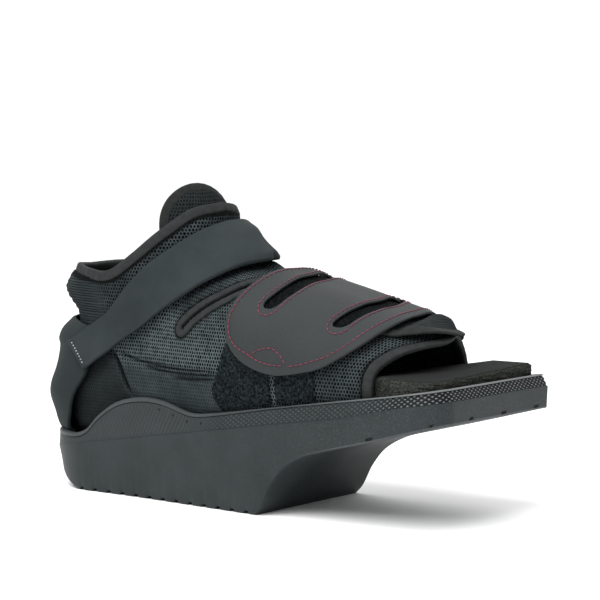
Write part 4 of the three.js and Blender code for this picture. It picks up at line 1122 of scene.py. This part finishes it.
def loop_cloth(name, light, dark):
    """Loop pile: tangled fibres of two scales that stand up from the cloth."""
    material, tree, shader = finish(name, 1.0, 0.05)
    tuft = grain(tree, 800, 4.0)
    fibre = grain(tree, 2600, 3.0)
    height = times_plus(fibre, 0.5, tuft)
    surface(shader, colours(between(height, 0.6, 1.0), dark, light), height, 0.0012)
    return material


def frayed(p, edge, seed):
    """Points near a pile's edge moved about, so that its outline is ragged."""
    stray = np.stack([ripple(p, 2.2, seed + k) for k in range(3)], -1)
    return p + 0.7 * stray * np.exp(-edge / 1.4)[..., None]


loop_pile = loop_cloth("loop_pile", (0.029, 0.039, 0.042), (0.003, 0.004, 0.005))
for patch_name, (patch_rear, patch_front, patch_top, top_slant, foot_slant) in PATCHES.items():
    patch_rise = edge_spread(34, 20)[None, :]
    above_knee = np.maximum(patch_rise - PATCH_KNEE, 0) / (1 - PATCH_KNEE)
    below_knee = np.maximum(PATCH_KNEE - patch_rise, 0) / PATCH_KNEE
    patch_first = patch_rear + top_slant * above_knee + foot_slant * below_knee**2
    patch_x = mix(patch_first, patch_front, edge_spread(44, patch_front - patch_rear)[:, None])
    patch_turn = mix(-rim_turn(patch_x, "lateral"), patch_top, patch_rise)
    patch_p, patch_n = on_vamp(patch_x, patch_turn)
    patch_edge = from_edge(patch_p)
    tufts = 0.35 * ripple(patch_p, 1.7, 31) + 0.2 * ripple(patch_p, 4, 32)
    ragged = frayed(patch_p, patch_edge, 33)
    points, faces = cloth(ragged, patch_n, PATCH_LIFT, LOOP_THICK, patch_edge, 0.8, tufts)
    patch = make_piece(patch_name.replace("loop_patch", "pile_patch"), points, faces, loop_pile, sharp=1.2)
    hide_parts(patch_name)

# Heel strap
# A broad strap of laminated cloth that comes up from the sole behind the heel, bows out around it and
# carries the two ends of the ankle strap.
STRAP_THICK = 2.4
HEEL_STRAP_WIDTH = 110.0
# heights of the strap's lower and upper ends, at its middle and at its sides
HEEL_STRAP_FOOT = (28.4, 31.6)
HEEL_STRAP_TOP = (94.0, 89.0)
# z, then the turn of the front edges and the height of the underside above the upper
HEEL_STRAP = np.array(
    [
        [28, 144, 0.6],
        [31.3, 142, 3.0],
        [33, 141, 6.0],
        [37, 138, 7.2],
        [42, 134, 7.6],
        [52, 127, 9.6],
        [63, 119.5, 7.2],
        [74, 117, 8.2],
        [80, 117, 9.6],
        [85, 117, 8.0],
        [94, 117, 1.4],
    ]
)


def heel_strap_lift(turn, z):
    """Height of the heel strap's underside above the upper: least at its sides, most at the back."""
    return curve(HEEL_STRAP, 2, z) * mix(0.4, 1, ease(np.abs(turn), 117, 165))


def strap_cloth(name, light, dark):
    """Laminated strap cloth: smooth and dull, with a faint close twill that follows the strap."""
    material, tree, shader = finish(name, 0.7, 0.1)
    along, up, _ = layer_parts(tree, "weave")
    fibre = grain(tree, 2400, 2.0)
    twill = sine(times(plus(along, up), 9.0))
    share = times_plus(twill, 0.05, times_plus(fibre, 0.3, grain(tree, 45, 3.0)))
    height = times_plus(twill, 0.2, fibre)
    surface(shader, colours(between(share, 0.35, 1.0), dark, light), height, 0.00012)
    return material


heel_side = mix(-1, 1, edge_spread(64, HEEL_STRAP_WIDTH))[:, None]
heel_rise = edge_spread(34, 62)[None, :]
heel_z = mix(mix(*HEEL_STRAP_FOOT, heel_side**2), mix(*HEEL_STRAP_TOP, heel_side**2), heel_rise)
heel_turn = 180 + heel_side * (180 - curve(HEEL_STRAP, 1, heel_z))
heel_turn = np.where(heel_turn > 180, heel_turn - 360, heel_turn)
heel_p, heel_n = on_ankle(heel_turn, heel_z)
heel_edge = from_edge(heel_p)
heel_weave = weave_map(heel_side * HEEL_STRAP_WIDTH / 2, heel_z)
heel_under = heel_strap_lift(heel_turn, heel_z)
heel_waves = 0.12 * ripple(heel_p, 18, 41)
points, faces = cloth(heel_p, heel_n, heel_under, STRAP_THICK, heel_edge, 0.7, heel_waves)
# The heel strap's cloth is the ankle strap's, painted darker: painted shade.
shaded_heel_cloth = strap_cloth("heel_strap_shaded_cloth", (0.022, 0.029, 0.0295), (0.015, 0.020, 0.0205))
heel_strap = make_piece("heel_strap_band", points, faces, shaded_heel_cloth, sharp=1.2, weave=heel_weave)
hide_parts("heel_strap")

# Forefoot cover
# A loose sheet of the same mesh that lies over the toe opening, under the forefoot flap; a broad dark tape
# is folded over its front and its outer edge.
# turn from the top of the form, then where the rear and the front edges lie
FLAP = np.array(
    [
        [-85.8, 180, 181],
        [-85, 173, 188],
        [-82, 163, 202.7],
        [-75.5, 154, 214.3],
        [-65, 146.3, 224.2],
        [-53, 143.3, 229.2],
        [-43, 144.6, 231.3],
        [-30, 148.3, 232],
        [-12, 151, 230.3],
        [15, 152, 228.3],
        [36, 152.5, 225.5],
        [56, 153.5, 221],
        [80, 154.5, 217],
    ]
)
# turn from the top of the form, then how far forward the cover's front reaches
COVER_FRONT = np.array([[-60, 250.5], [0, 250], [25, 249.5], [40, 247], [62, 236]])
COVER_REAR = 176.0
COVER_LATERAL = -48.0
COVER_MEDIAL = 62.0
COVER_CORNER = 17.0
COVER_REACH = 37.0
COVER_LIFT = 0.8
COVER_THICK = 1.2
COVER_TAPE_REAR = 226.0
COVER_TAPE = (-0.25, COVER_THICK + 0.35)
# height of the cover's swelling in front of the flap
COVER_SWELL = 5.0
# turn, then the height at which the cover's front edge stands
COVER_STAND = np.array(
    [
        [-60, 2.2],
        [-48, 2.8],
        [-40, 4],
        [-30, 4.3],
        [-20, 4],
        [-10, 3.4],
        [0, 2.8],
        [10, 2.1],
        [20, 1.3],
        [30, 0.6],
        [62, 0.5],
    ]
)


def cover_front(turn, inset):
    """The front of the cover moved in by an inset, with a round corner at its outer side."""
    lateral = COVER_LATERAL + np.degrees(inset / COVER_REACH)
    corner = COVER_CORNER - inset
    into = np.clip(1 - (turn - lateral) / np.degrees(corner / COVER_REACH), 0, 1)
    slant = curve(COVER_FRONT, 1, turn + 2) - curve(COVER_FRONT, 1, turn - 2)
    slant = slant / (4 * np.radians(COVER_REACH))
    return curve(COVER_FRONT, 1, turn) - inset * np.hypot(1, slant) - corner * (1 - np.sqrt(1 - into**2))


def cover_lift(x, turn):
    """Height of the cover's underside: close to the upper below the flap, swelling up in front of it, and
    sinking to a nearly level rim where its tape lies."""
    start = curve(FLAP, 2, turn) + 0.2
    front = cover_front(turn, 0)
    stand = curve(COVER_STAND, 1, turn)
    swell = ease(x, start, start + 4) * (1 - ease(x, front - 14, front - 5))
    return COVER_LIFT + (stand - COVER_LIFT) * ease(x, start + 1, start + 9) + (COVER_SWELL - stand) * swell


def on_cover(x, turn):
    """Places on the cover's underside."""
    p, n = on_vamp(x, turn)
    return p + n * cover_lift(x, turn)[..., None]


def cover_place(x, turn):
    """Places on the cover's underside and the way straight out of it, from differences along and across."""
    along = on_cover(x + 0.5, turn) - on_cover(x - 0.5, turn)
    across = on_cover(x, turn + 0.5) - on_cover(x, turn - 0.5)
    n = np.cross(along, across)
    n *= np.sign(n[..., 2:])
    return on_cover(x, turn), unit(n)


cover_inset = BINDING_WIDTH - 1
cover_first = COVER_LATERAL + np.degrees(cover_inset / COVER_REACH)
cover_round = np.degrees((COVER_CORNER - cover_inset) / COVER_REACH)
cover_turn = np.concatenate(
    [
        cover_first + cover_round * (1 - np.cos(np.radians(np.linspace(0, 84, 14)))),
        np.linspace(cover_first + cover_round, COVER_MEDIAL, 60),
    ]
)[:, None]
cover_x = mix(COVER_REAR, cover_front(cover_turn, cover_inset), np.linspace(0, 1, 48)[None, :])
cover_p, cover_n = cover_place(cover_x, cover_turn)
cover_edge = from_edge(cover_p)
points, faces = cloth(cover_p, cover_n, 0 * cover_edge, COVER_THICK, cover_edge, 0.6)
# The cover's mesh is the upper's mesh painted darker: painted shade.
cover_shaded_mesh = mesh_cloth(
    "cover_shaded_mesh", (0.030, 0.036, 0.037), (0.018, 0.022, 0.023), (0.002, 0.003, 0.003), 1.77, 1.5, (0.5, 0.42)
)
cover = make_piece(
    "cover_sheet",
    points,
    faces,
    cover_shaded_mesh,
    sharp=1.2,
    weave=weave_map(cover_turn * 0.85, cover_x),
    look=np.broadcast_to([0.9, 0.0, 0.0], points.shape),
)
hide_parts("forefoot_cover")

cover_side_x = np.linspace(COVER_TAPE_REAR, cover_front(COVER_LATERAL, 0), 16)
corner_share = 1 - np.cos(np.radians(np.linspace(4, 88, 24)))
cover_turns = COVER_LATERAL + np.degrees(COVER_CORNER / COVER_REACH) * corner_share
cover_turns = np.concatenate([cover_turns, np.linspace(cover_turns[-1] + 1, COVER_MEDIAL, 90)])
cover_line_x = np.concatenate([cover_side_x, cover_front(cover_turns, 0)])
cover_line_turn = np.concatenate([0 * cover_side_x + COVER_LATERAL, cover_turns])
cover_path = cover_place(cover_line_x, cover_line_turn)
cover_in = on_vamp(np.array(COVER_REAR), np.array(0.0))[0] - cover_path[0]
cover_tape_cloth = tape_cloth("cover_tape_cloth", (0.024, 0.026, 0.026), (0.016, 0.018, 0.018))
add_binding(
    "cover_tape", "cover_binding", cover_path, cover_in, BINDING_WIDTH, COVER_TAPE, False, cover_tape_cloth
)

# Forefoot flap and its backing
# The flap is a broad piece of smooth coated cloth, fixed along the inner rim and closed over the top to the
# outer side, where its lobe grips the loop patches. Two long slots let it bend, and a dark pile backs it.
FLAP_THICK = 1.6
# heights of the flap's underside over its backing and at its inner hem, the hem's turn, and its rows
FLAP_LIFT = 4.6
HEM_LIFT = 1.3
HEM_TURN = 80.0
HEM_ROWS = 12
FLAP_RADIUS = 47.0
BACKING_LIFT = 2.85
BACKING_TURNS = (-83, 34)
BACKING_INSET = 1.2
SLOT_HALF = 4.4
# how far the seam lies outside a slot's edge, and further beyond its outer end in degrees
SLOT_SEAM_OFF = 1.8
SLOT_SEAM_PAST = 2.5
# length, gap and radius of a stitch, and the share of its radius that is sunk into the cloth
FLAP_STITCH = (2.7, 0.3, 0.28)
STITCH_SINK = 0.25
# turn, then x of each slot's middle line
FLAP_SLOTS = (
    np.array([[-43.5, 166], [-33, 168.7], [-20, 169.4], [0, 167.7], [22, 163.5]]),
    np.array([[-50, 208], [-40, 210.2], [-28, 212], [0, 211], [22, 207.5]]),
)
# turn, then x of the seams along the rear and the front edges
FLAP_SEAM = np.array(
    [
        [-80.5, 184, 188],
        [-80, 176.3, 192],
        [-78, 168, 199.5],
        [-75, 162, 207.5],
        [-70, 154, 214],
        [-64.5, 149.3, 218.5],
        [-57, 146.3, 222],
        [-51, 146, 224],
        [-43, 147.3, 226.3],
        [-30, 150.8, 227.3],
        [-12, 153.7, 226],
        [15, 154.8, 224],
        [36, 155.3, 221],
        [56, 156.3, 216.5],
        [80, 157.3, 212.5],
    ]
)
# step along the short arc that closes the seam above the lobe's tip, then its x and turn
FLAP_ARC = np.array(
    [
        [0, 162.3, -76.5],
        [1, 165.3, -74],
        [2, 168.3, -72.5],
        [3, 172.3, -71.5],
        [4, 176.3, -71.5],
        [5, 180, -73.5],
        [6, 183, -76],
        [7, 185.7, -79.5],
    ]
)


def slot_bounds(turn, rear, front, slot):
    """The two edges of a slot: half a round at each end, and one shared line beyond them."""
    first, last = slot[0, 0], slot[-1, 0]
    line = curve(slot, 1, turn)
    held = np.clip(turn, first, last)
    share = (line - curve(FLAP, 1, held)) / (curve(FLAP, 2, held) - curve(FLAP, 1, held))
    middle = np.where(turn == held, line, mix(rear, front, share))
    past = np.radians(np.maximum(np.maximum(first - turn, turn - last), 0)) * FLAP_RADIUS
    half = np.sqrt(np.maximum(SLOT_HALF**2 - past**2, 0))
    return middle - half, middle + half


def flap_lift(turn):
    """Height of the flap's underside: level over the backing, then down to the upper at the inner hem."""
    return mix(FLAP_LIFT, HEM_LIFT, ease(turn, 55, 88))


def fine_lines(lines):
    """Lines of points with nine more put between each two, and their last points kept."""
    shares = np.linspace(0, 1, 10, endpoint=False)[:, None, None]
    parts = [mix(line[None, :-1], line[None, 1:], shares).reshape(-1, 3) for line in lines]
    return np.concatenate(parts + [line[-1:] for line in lines])


tip_turn = np.degrees(SLOT_HALF * np.sin(np.radians(np.linspace(0, 90, 6))) / FLAP_RADIUS)
slot_tips = [tip for slot in FLAP_SLOTS for tip in (slot[0, 0] - tip_turn, slot[-1, 0] + tip_turn)]
lobe_turn = FLAP[0, 0] + 25.8 * np.linspace(0, 1, 30) ** 2
flap_turn = np.concatenate([lobe_turn, np.arange(-59, HEM_TURN + 0.5, 1.5), *slot_tips])
flap_turn = np.unique(np.round(flap_turn, 4))[:, None]
hem_share = np.linspace(0, 1, HEM_ROWS + 1)[1:, None]
flap_rear = np.concatenate([curve(FLAP, 1, flap_turn), 0 * hem_share + FLAP[-1, 1]])
flap_front = np.concatenate([curve(FLAP, 2, flap_turn), 0 * hem_share + FLAP[-1, 2]])
flap_column = np.concatenate([flap_turn, 0 * hem_share + HEM_TURN])
rear_slot, front_slot = (slot_bounds(flap_column, flap_rear, flap_front, slot) for slot in FLAP_SLOTS)
strip_edges = ((flap_rear, rear_slot[0]), (rear_slot[1], front_slot[0]), (front_slot[1], flap_front))
strip_shares = [edge_spread(10, 17)[None, :], edge_spread(20, 37)[None, :], edge_spread(12, 21)[None, :]]
flap_x = np.concatenate([mix(*edges, share) for edges, share in zip(strip_edges, strip_shares)], axis=1)
hem_turn = mix(HEM_TURN, rim_turn(flap_x[len(flap_turn) :], "medial"), hem_share)
flap_turns = np.concatenate([np.broadcast_to(flap_turn, (len(flap_turn), flap_x.shape[1])), hem_turn])
flap_p, flap_n = on_vamp(flap_x, flap_turns)
strip_starts = np.cumsum([share.size for share in strip_shares])[:-1]
flap_faces = grid_faces(*flap_x.shape)
flap_faces = flap_faces[~np.isin(flap_faces[:, 0] % flap_x.shape[1], strip_starts - 1)]
slot_lines = [
    flap_p[(slot[1] - slot[0])[:, 0] > 0, column]
    for slot, start in zip((rear_slot, front_slot), strip_starts)
    for column in (start - 1, start)
]
outer_edge = from_edge(flap_p, fine_lines([flap_p[:, 0], flap_p[:, -1], flap_p[0], flap_p[-1]]))
flap_edge = np.minimum(outer_edge, from_edge(flap_p, fine_lines(slot_lines)))
flap_press = 0.5 * np.maximum(1 - outer_edge / 5, 0) ** 2 * (1 - ease(flap_turns, 40, 60))
flap_pad = 0.15 * ripple(flap_p, 42, 51) - 0.05
points, _ = cloth(flap_p, flap_n, flap_lift(flap_turns) - flap_press, FLAP_THICK, flap_edge, 0.5, flap_pad)
faces = np.concatenate([flap_faces, flap_faces[:, ::-1] + flap_x.size])

coated, tree, shader = finish("flap_coated_cloth", 0.6, 0.12)
pebble = grain(tree, 900, 3.0)
fine = grain(tree, 3600, 2.0)
flap_share = times_plus(pebble, 0.6, times(grain(tree, 30, 3.0), 0.7))
flap_colour = colours(between(flap_share, 0.3, 1.0), (0.027, 0.0305, 0.031), (0.034, 0.038, 0.0385))
surface(shader, flap_colour, times_plus(fine, 0.4, pebble), 0.00015)
flap = make_piece("flap_sheet", points, faces, coated, sharp=1.2)
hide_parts("forefoot_flap")

backing_turn = mix(*BACKING_TURNS, edge_spread(84, 100))[:, None]
backing_rear = curve(FLAP, 1, backing_turn) + BACKING_INSET
backing_front = curve(FLAP, 2, backing_turn) - BACKING_INSET
backing_x = mix(backing_rear, backing_front, edge_spread(50, 78)[None, :])
backing_p, backing_n = on_vamp(backing_x, backing_turn)
backing_edge = from_edge(backing_p)
tufts = 0.25 * ripple(backing_p, 1.9, 61) + 0.15 * ripple(backing_p, 5, 62)
ragged = frayed(backing_p, backing_edge, 63)
points, faces = cloth(ragged, backing_n, BACKING_LIFT, LOOP_THICK, backing_edge, 0.8, tufts)
backing_pile = loop_cloth("backing_pile", (0.012, 0.014, 0.015), (0.002, 0.003, 0.003))
backing = make_piece("flap_pile", points, faces, backing_pile, sharp=1.2)
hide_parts("flap_backing")


def stitch_row(p, n, length, gap, radius):
    """Stitches along a line of points: oval beads of one length and gap, sunk a little into the cloth."""
    place = run_along(p)
    count = max(int(place[-1] // (length + gap)), 1)
    middle = (np.arange(count) + 0.5) * place[-1] / count

    def at(where, values):
        """Values along the line, by distance."""
        return np.stack([np.interp(where, place, values[:, k]) for k in range(3)], -1)

    start = at(middle - length / 2, p)
    along = at(middle + length / 2, p) - start
    up = at(middle, n)
    side = unit(np.cross(up, along))
    share = np.linspace(0, 1, 6)[None, :, None, None]
    angle = np.linspace(0, 2 * np.pi, 7, endpoint=False)[None, None, :, None]
    fat = radius * np.sqrt(np.maximum(1 - (2 * share - 1) ** 2, 0))
    arch = radius * (np.sqrt(np.maximum(1 - 0.8 * (2 * share - 1) ** 2, 0)) - 1 - STITCH_SINK)
    up, side = up[:, None, None], side[:, None, None]
    ring = start[:, None, None] + along[:, None, None] * share
    points = ring + up * (fat * np.sin(angle) + arch + radius) + side * fat * np.cos(angle)
    faces = grid_faces(6, 7, round_columns=True)
    return points.reshape(-1, 3), (faces[None] + 42 * np.arange(count)[:, None, None]).reshape(-1, 4)


def thread_finish(name, light, dark):
    """Sewing thread: two plies twisted along it, seen as fine light and dark."""
    material, tree, shader = finish(name, 0.55, 0.4)
    ply = grain(tree, 2200, 2.0)
    surface(shader, colours(between(ply, 0.35, 0.65), dark, light), ply, 0.0002)
    return material


def join_rows(rows):
    """Several meshes as one list of points and of faces."""
    starts = np.cumsum([0] + [len(points) for points, _ in rows[:-1]])
    return np.concatenate([p for p, _ in rows]), np.concatenate([f + s for (_, f), s in zip(rows, starts)])


def flap_line(x, turn):
    """A line on the flap's outer face, from places on the form."""
    p, n = on_vamp(x, turn)
    return p + n * (flap_lift(turn) + FLAP_THICK)[..., None], n


seam_turn = np.linspace(FLAP_SEAM[0, 0], FLAP_SEAM[-1, 0], 320)
rear_seam = flap_line(curve(FLAP_SEAM, 1, seam_turn), seam_turn)
front_seam = flap_line(curve(FLAP_SEAM, 2, seam_turn), seam_turn)
arc_step = np.linspace(0, 7, 40)
arc_seam = flap_line(curve(FLAP_ARC, 1, arc_step), curve(FLAP_ARC, 2, arc_step))


def slot_seam(slot):
    """A seam around a slot, a little outside its edge and further beyond its outer end."""
    turn = np.linspace(slot[0, 0] - SLOT_SEAM_PAST, slot[-1, 0], 60)
    slope = (slot[1, 1] - slot[0, 1]) / (slot[1, 0] - slot[0, 0])
    p, n = on_vamp(curve(slot, 1, turn) + np.minimum(turn - slot[0, 0], 0) * slope, turn)
    edge, normal, _ = long_hole(p, n, SLOT_HALF + SLOT_SEAM_OFF, 13)
    return edge + normal * (FLAP_LIFT + FLAP_THICK), normal


flap_seams = [rear_seam, front_seam, arc_seam, slot_seam(FLAP_SLOTS[0]), slot_seam(FLAP_SLOTS[1])]
points, faces = join_rows([stitch_row(*seam, *FLAP_STITCH) for seam in flap_seams])
crimson = thread_finish("crimson_thread", (0.24, 0.03, 0.068), (0.12, 0.012, 0.032))
flap_stitching = make_piece("flap_stitching", points, faces, crimson, sharp=1.2)

# Ankle strap
# A strap of the same laminated cloth, from one side of the heel strap over the front of the ankle to the
# other, sewn to the heel strap with a row of pale stitches at each end.
# step along the strap, turn and height of its upper edge and of its lower one, and how far that stands off
ANKLE_STRAP = np.array(
    [
        [0, -138, 80.5, -117.5, 65, 0],
        [1, -115, 91, -103, 71.5, 0],
        [2, -92, 100, -88, 80.5, 0],
        [3, -71, 114, -71, 87, 0],
        [4, -55, 124.6, -55, 93, 0.3],
        [5, -41, 132.8, -40, 101.5, 1.2],
        [6, -24, 142.1, -26, 113, 1.6],
        [7, -10, 146.8, -13, 122, 2],
        [8, 0, 147.8, 0, 124.6, 2],
    ]
)
STRAP_LIFT = 1.5
STRAP_MIDDLE = ANKLE_STRAP[-1, 0]
# how far the strap bows out over the ankle and how far two swellings carry its front forward, each with the
# step at which it is greatest and its spread
STRAP_BOW = (3.4, 9.3, 2.2)
STRAP_FORWARD = (5.0, 7.5, 0.9)
STRAP_NOSE = (3.2, 8.0, 0.32)
STRAP_WIDTH = 26.0
# the step at which the strap's ends are sewn on, then length, gap and radius of a stitch
STRAP_SEWN = 0.22
END_STITCH = (1.1, 0.8, 0.4)


def strap_edge(step, sign, turn_column, stand):
    """One edge of the ankle strap on the lateral (-1) or medial (1) side, on the heel strap at its end."""
    turn = curve(ANKLE_STRAP, turn_column, step)
    z = curve(ANKLE_STRAP, turn_column + 1, step)
    p, n = on_ankle(-sign * turn, z)
    on_heel = heel_strap_lift(turn, z) + STRAP_THICK + 0.9
    return p + n * (mix(on_heel, STRAP_LIFT, ease(step, 0.8, 2)) + stand)[..., None]


strap_end = STRAP_MIDDLE * np.array([0, 0.0012, 0.004, 0.009, 0.016])
strap_step = np.concatenate([strap_end, np.linspace(0.2, STRAP_MIDDLE, 90)])
strap_across = edge_spread(18, 25)[None, :, None]
strap_halves = []
for sign in (-1.0, 1.0):
    lower = strap_edge(strap_step, sign, 3, curve(ANKLE_STRAP, 5, strap_step))
    higher = strap_edge(strap_step, sign, 1, 0 * strap_step)
    strap_halves.append(mix(lower[:, None], higher[:, None], strap_across))
strap_p = np.concatenate([strap_halves[0], strap_halves[1][-2::-1]])
strap_n = outward(strap_p)
strap_p = strap_p + strap_n * np.maximum(STRAP_LIFT - form_distance(strap_p), 0)[..., None]
strap_edges = from_edge(strap_p)
strap_way = np.concatenate([strap_step, 2 * STRAP_MIDDLE - strap_step[-2::-1]])[:, None]
strap_rise = strap_across[..., 0]


def along_strap(height, middle, spread):
    """A bell curve along the strap, of some height."""
    return height * bell(strap_way - middle, spread)


strap_bow = along_strap(*STRAP_BOW) * bell(strap_rise - 0.75, 0.28)
strap_p = strap_p + strap_n * strap_bow[..., None]
strap_ahead = along_strap(*STRAP_FORWARD) * (1 - 0.6 * strap_rise)
strap_ahead += along_strap(*STRAP_NOSE) * (1 - 0.7 * strap_rise)
strap_p[..., 0] += strap_ahead * (1 - 0.4 * bell(strap_rise, 0.08))
strap_waves = 0.12 * ripple(strap_p, 24, 71)
points, faces = cloth(strap_p, strap_n, 0 * strap_edges, STRAP_THICK, strap_edges, 0.6, strap_waves)
strap_weave = weave_map(run_along(strap_p[:, 12])[:, None], strap_rise * STRAP_WIDTH)
ankle_cloth = strap_cloth("ankle_strap_cloth", (0.030, 0.037, 0.038), (0.020, 0.026, 0.027))
ankle_strap = make_piece("ankle_strap_band", points, faces, ankle_cloth, sharp=1.2, weave=strap_weave)
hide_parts("ankle_strap")

strap_up = strap_p + strap_n * STRAP_THICK
sewn_line = int(np.argmin(np.abs(strap_step - STRAP_SEWN)))
end_lines = [(strap_up[line, 5:-5], strap_n[line, 5:-5]) for line in (sewn_line, -1 - sewn_line)]
points, faces = join_rows([stitch_row(*line, *END_STITCH) for line in end_lines])
pale = thread_finish("pale_thread", (0.42, 0.43, 0.42), (0.22, 0.23, 0.22))
strap_stitching = make_piece("strap_stitching", points, faces, pale, sharp=1.2)

# Stage
# A pale floor, a soft key light from above the camera, a room with a white back wall and a bright ceiling,
# and the camera at the photograph's viewing angle.
KEY_PLACE = np.array([0.2, -1.1, 1.7])
KEY_AIM = np.array([0.03, 0, 0.06])
KEY_SIZE = 1.5
KEY_POWER = 43.5
VIEW_AZIMUTH = np.radians(37.0)
VIEW_HEIGHT = np.radians(4.4)
VIEW_DISTANCE = 1.207

bpy.ops.mesh.primitive_plane_add(size=8, location=(0, 0, 0))
floor = bpy.context.object
floor.name = "floor"
pale_floor, tree, shader = finish("pale_floor", 0.9, 0.0)
shader.inputs["Base Color"].default_value = (0.98, 0.98, 0.98, 1)
floor.data.materials.append(pale_floor)


def stand_at(name, data, place, back):
    """A lamp or a camera at a place, looking away from the direction called back, with its top up."""
    back = unit(back)
    right = unit(np.cross([0, 0, 1.0], back))
    turned = np.eye(4)
    turned[:3, 0] = right
    turned[:3, 1] = np.cross(back, right)
    turned[:3, 2] = back
    turned[:3, 3] = place
    holder = bpy.data.objects.new(name, data)
    bpy.context.scene.collection.objects.link(holder)
    holder.matrix_world = turned.T.tolist()
    return holder


key_light = bpy.data.lights.new("key", "AREA")
key_light.size = KEY_SIZE
key_light.energy = KEY_POWER
stand_at("key", key_light, KEY_PLACE, KEY_PLACE - KEY_AIM)
world = bpy.data.worlds.new("surround")
bpy.context.scene.world = world
world.use_nodes = True
tree = world.node_tree
room_way = tree.nodes.new("ShaderNodeSeparateXYZ")
tree.links.new(tree.nodes.new("ShaderNodeTexCoord").outputs["Generated"], room_way.inputs[0])
towards_wall = times_plus(room_way.outputs[0], -0.6, times(room_way.outputs[1], 0.8))
back_wall = times(between(towards_wall, 0.3, 0.7), 0.78)
ceiling = times(between(room_way.outputs[2], 0.25, 0.8), 0.9)
bright = plus(plus(back_wall, ceiling), 0.25)
tree.links.new(bright, tree.nodes["Background"].inputs["Strength"])
tree.nodes["Background"].inputs["Color"].default_value = (1, 1, 1, 1)

view_back = np.array(
    [
        np.sin(VIEW_AZIMUTH) * np.cos(VIEW_HEIGHT),
        -np.cos(VIEW_AZIMUTH) * np.cos(VIEW_HEIGHT),
        np.sin(VIEW_HEIGHT),
    ]
)
view_right = np.array([np.cos(VIEW_AZIMUTH), np.sin(VIEW_AZIMUTH), 0])
view_target = np.array([0.05, 0, 0.1067]) + 0.0127 * view_right
lens = bpy.data.cameras.new("photo_camera")
lens.sensor_width = 36.0
lens.lens = 136.44
camera = stand_at("photo_camera", lens, view_target + VIEW_DISTANCE * view_back, view_back)
bpy.context.scene.camera = camera
bpy.context.scene.view_settings.view_transform = "Standard"
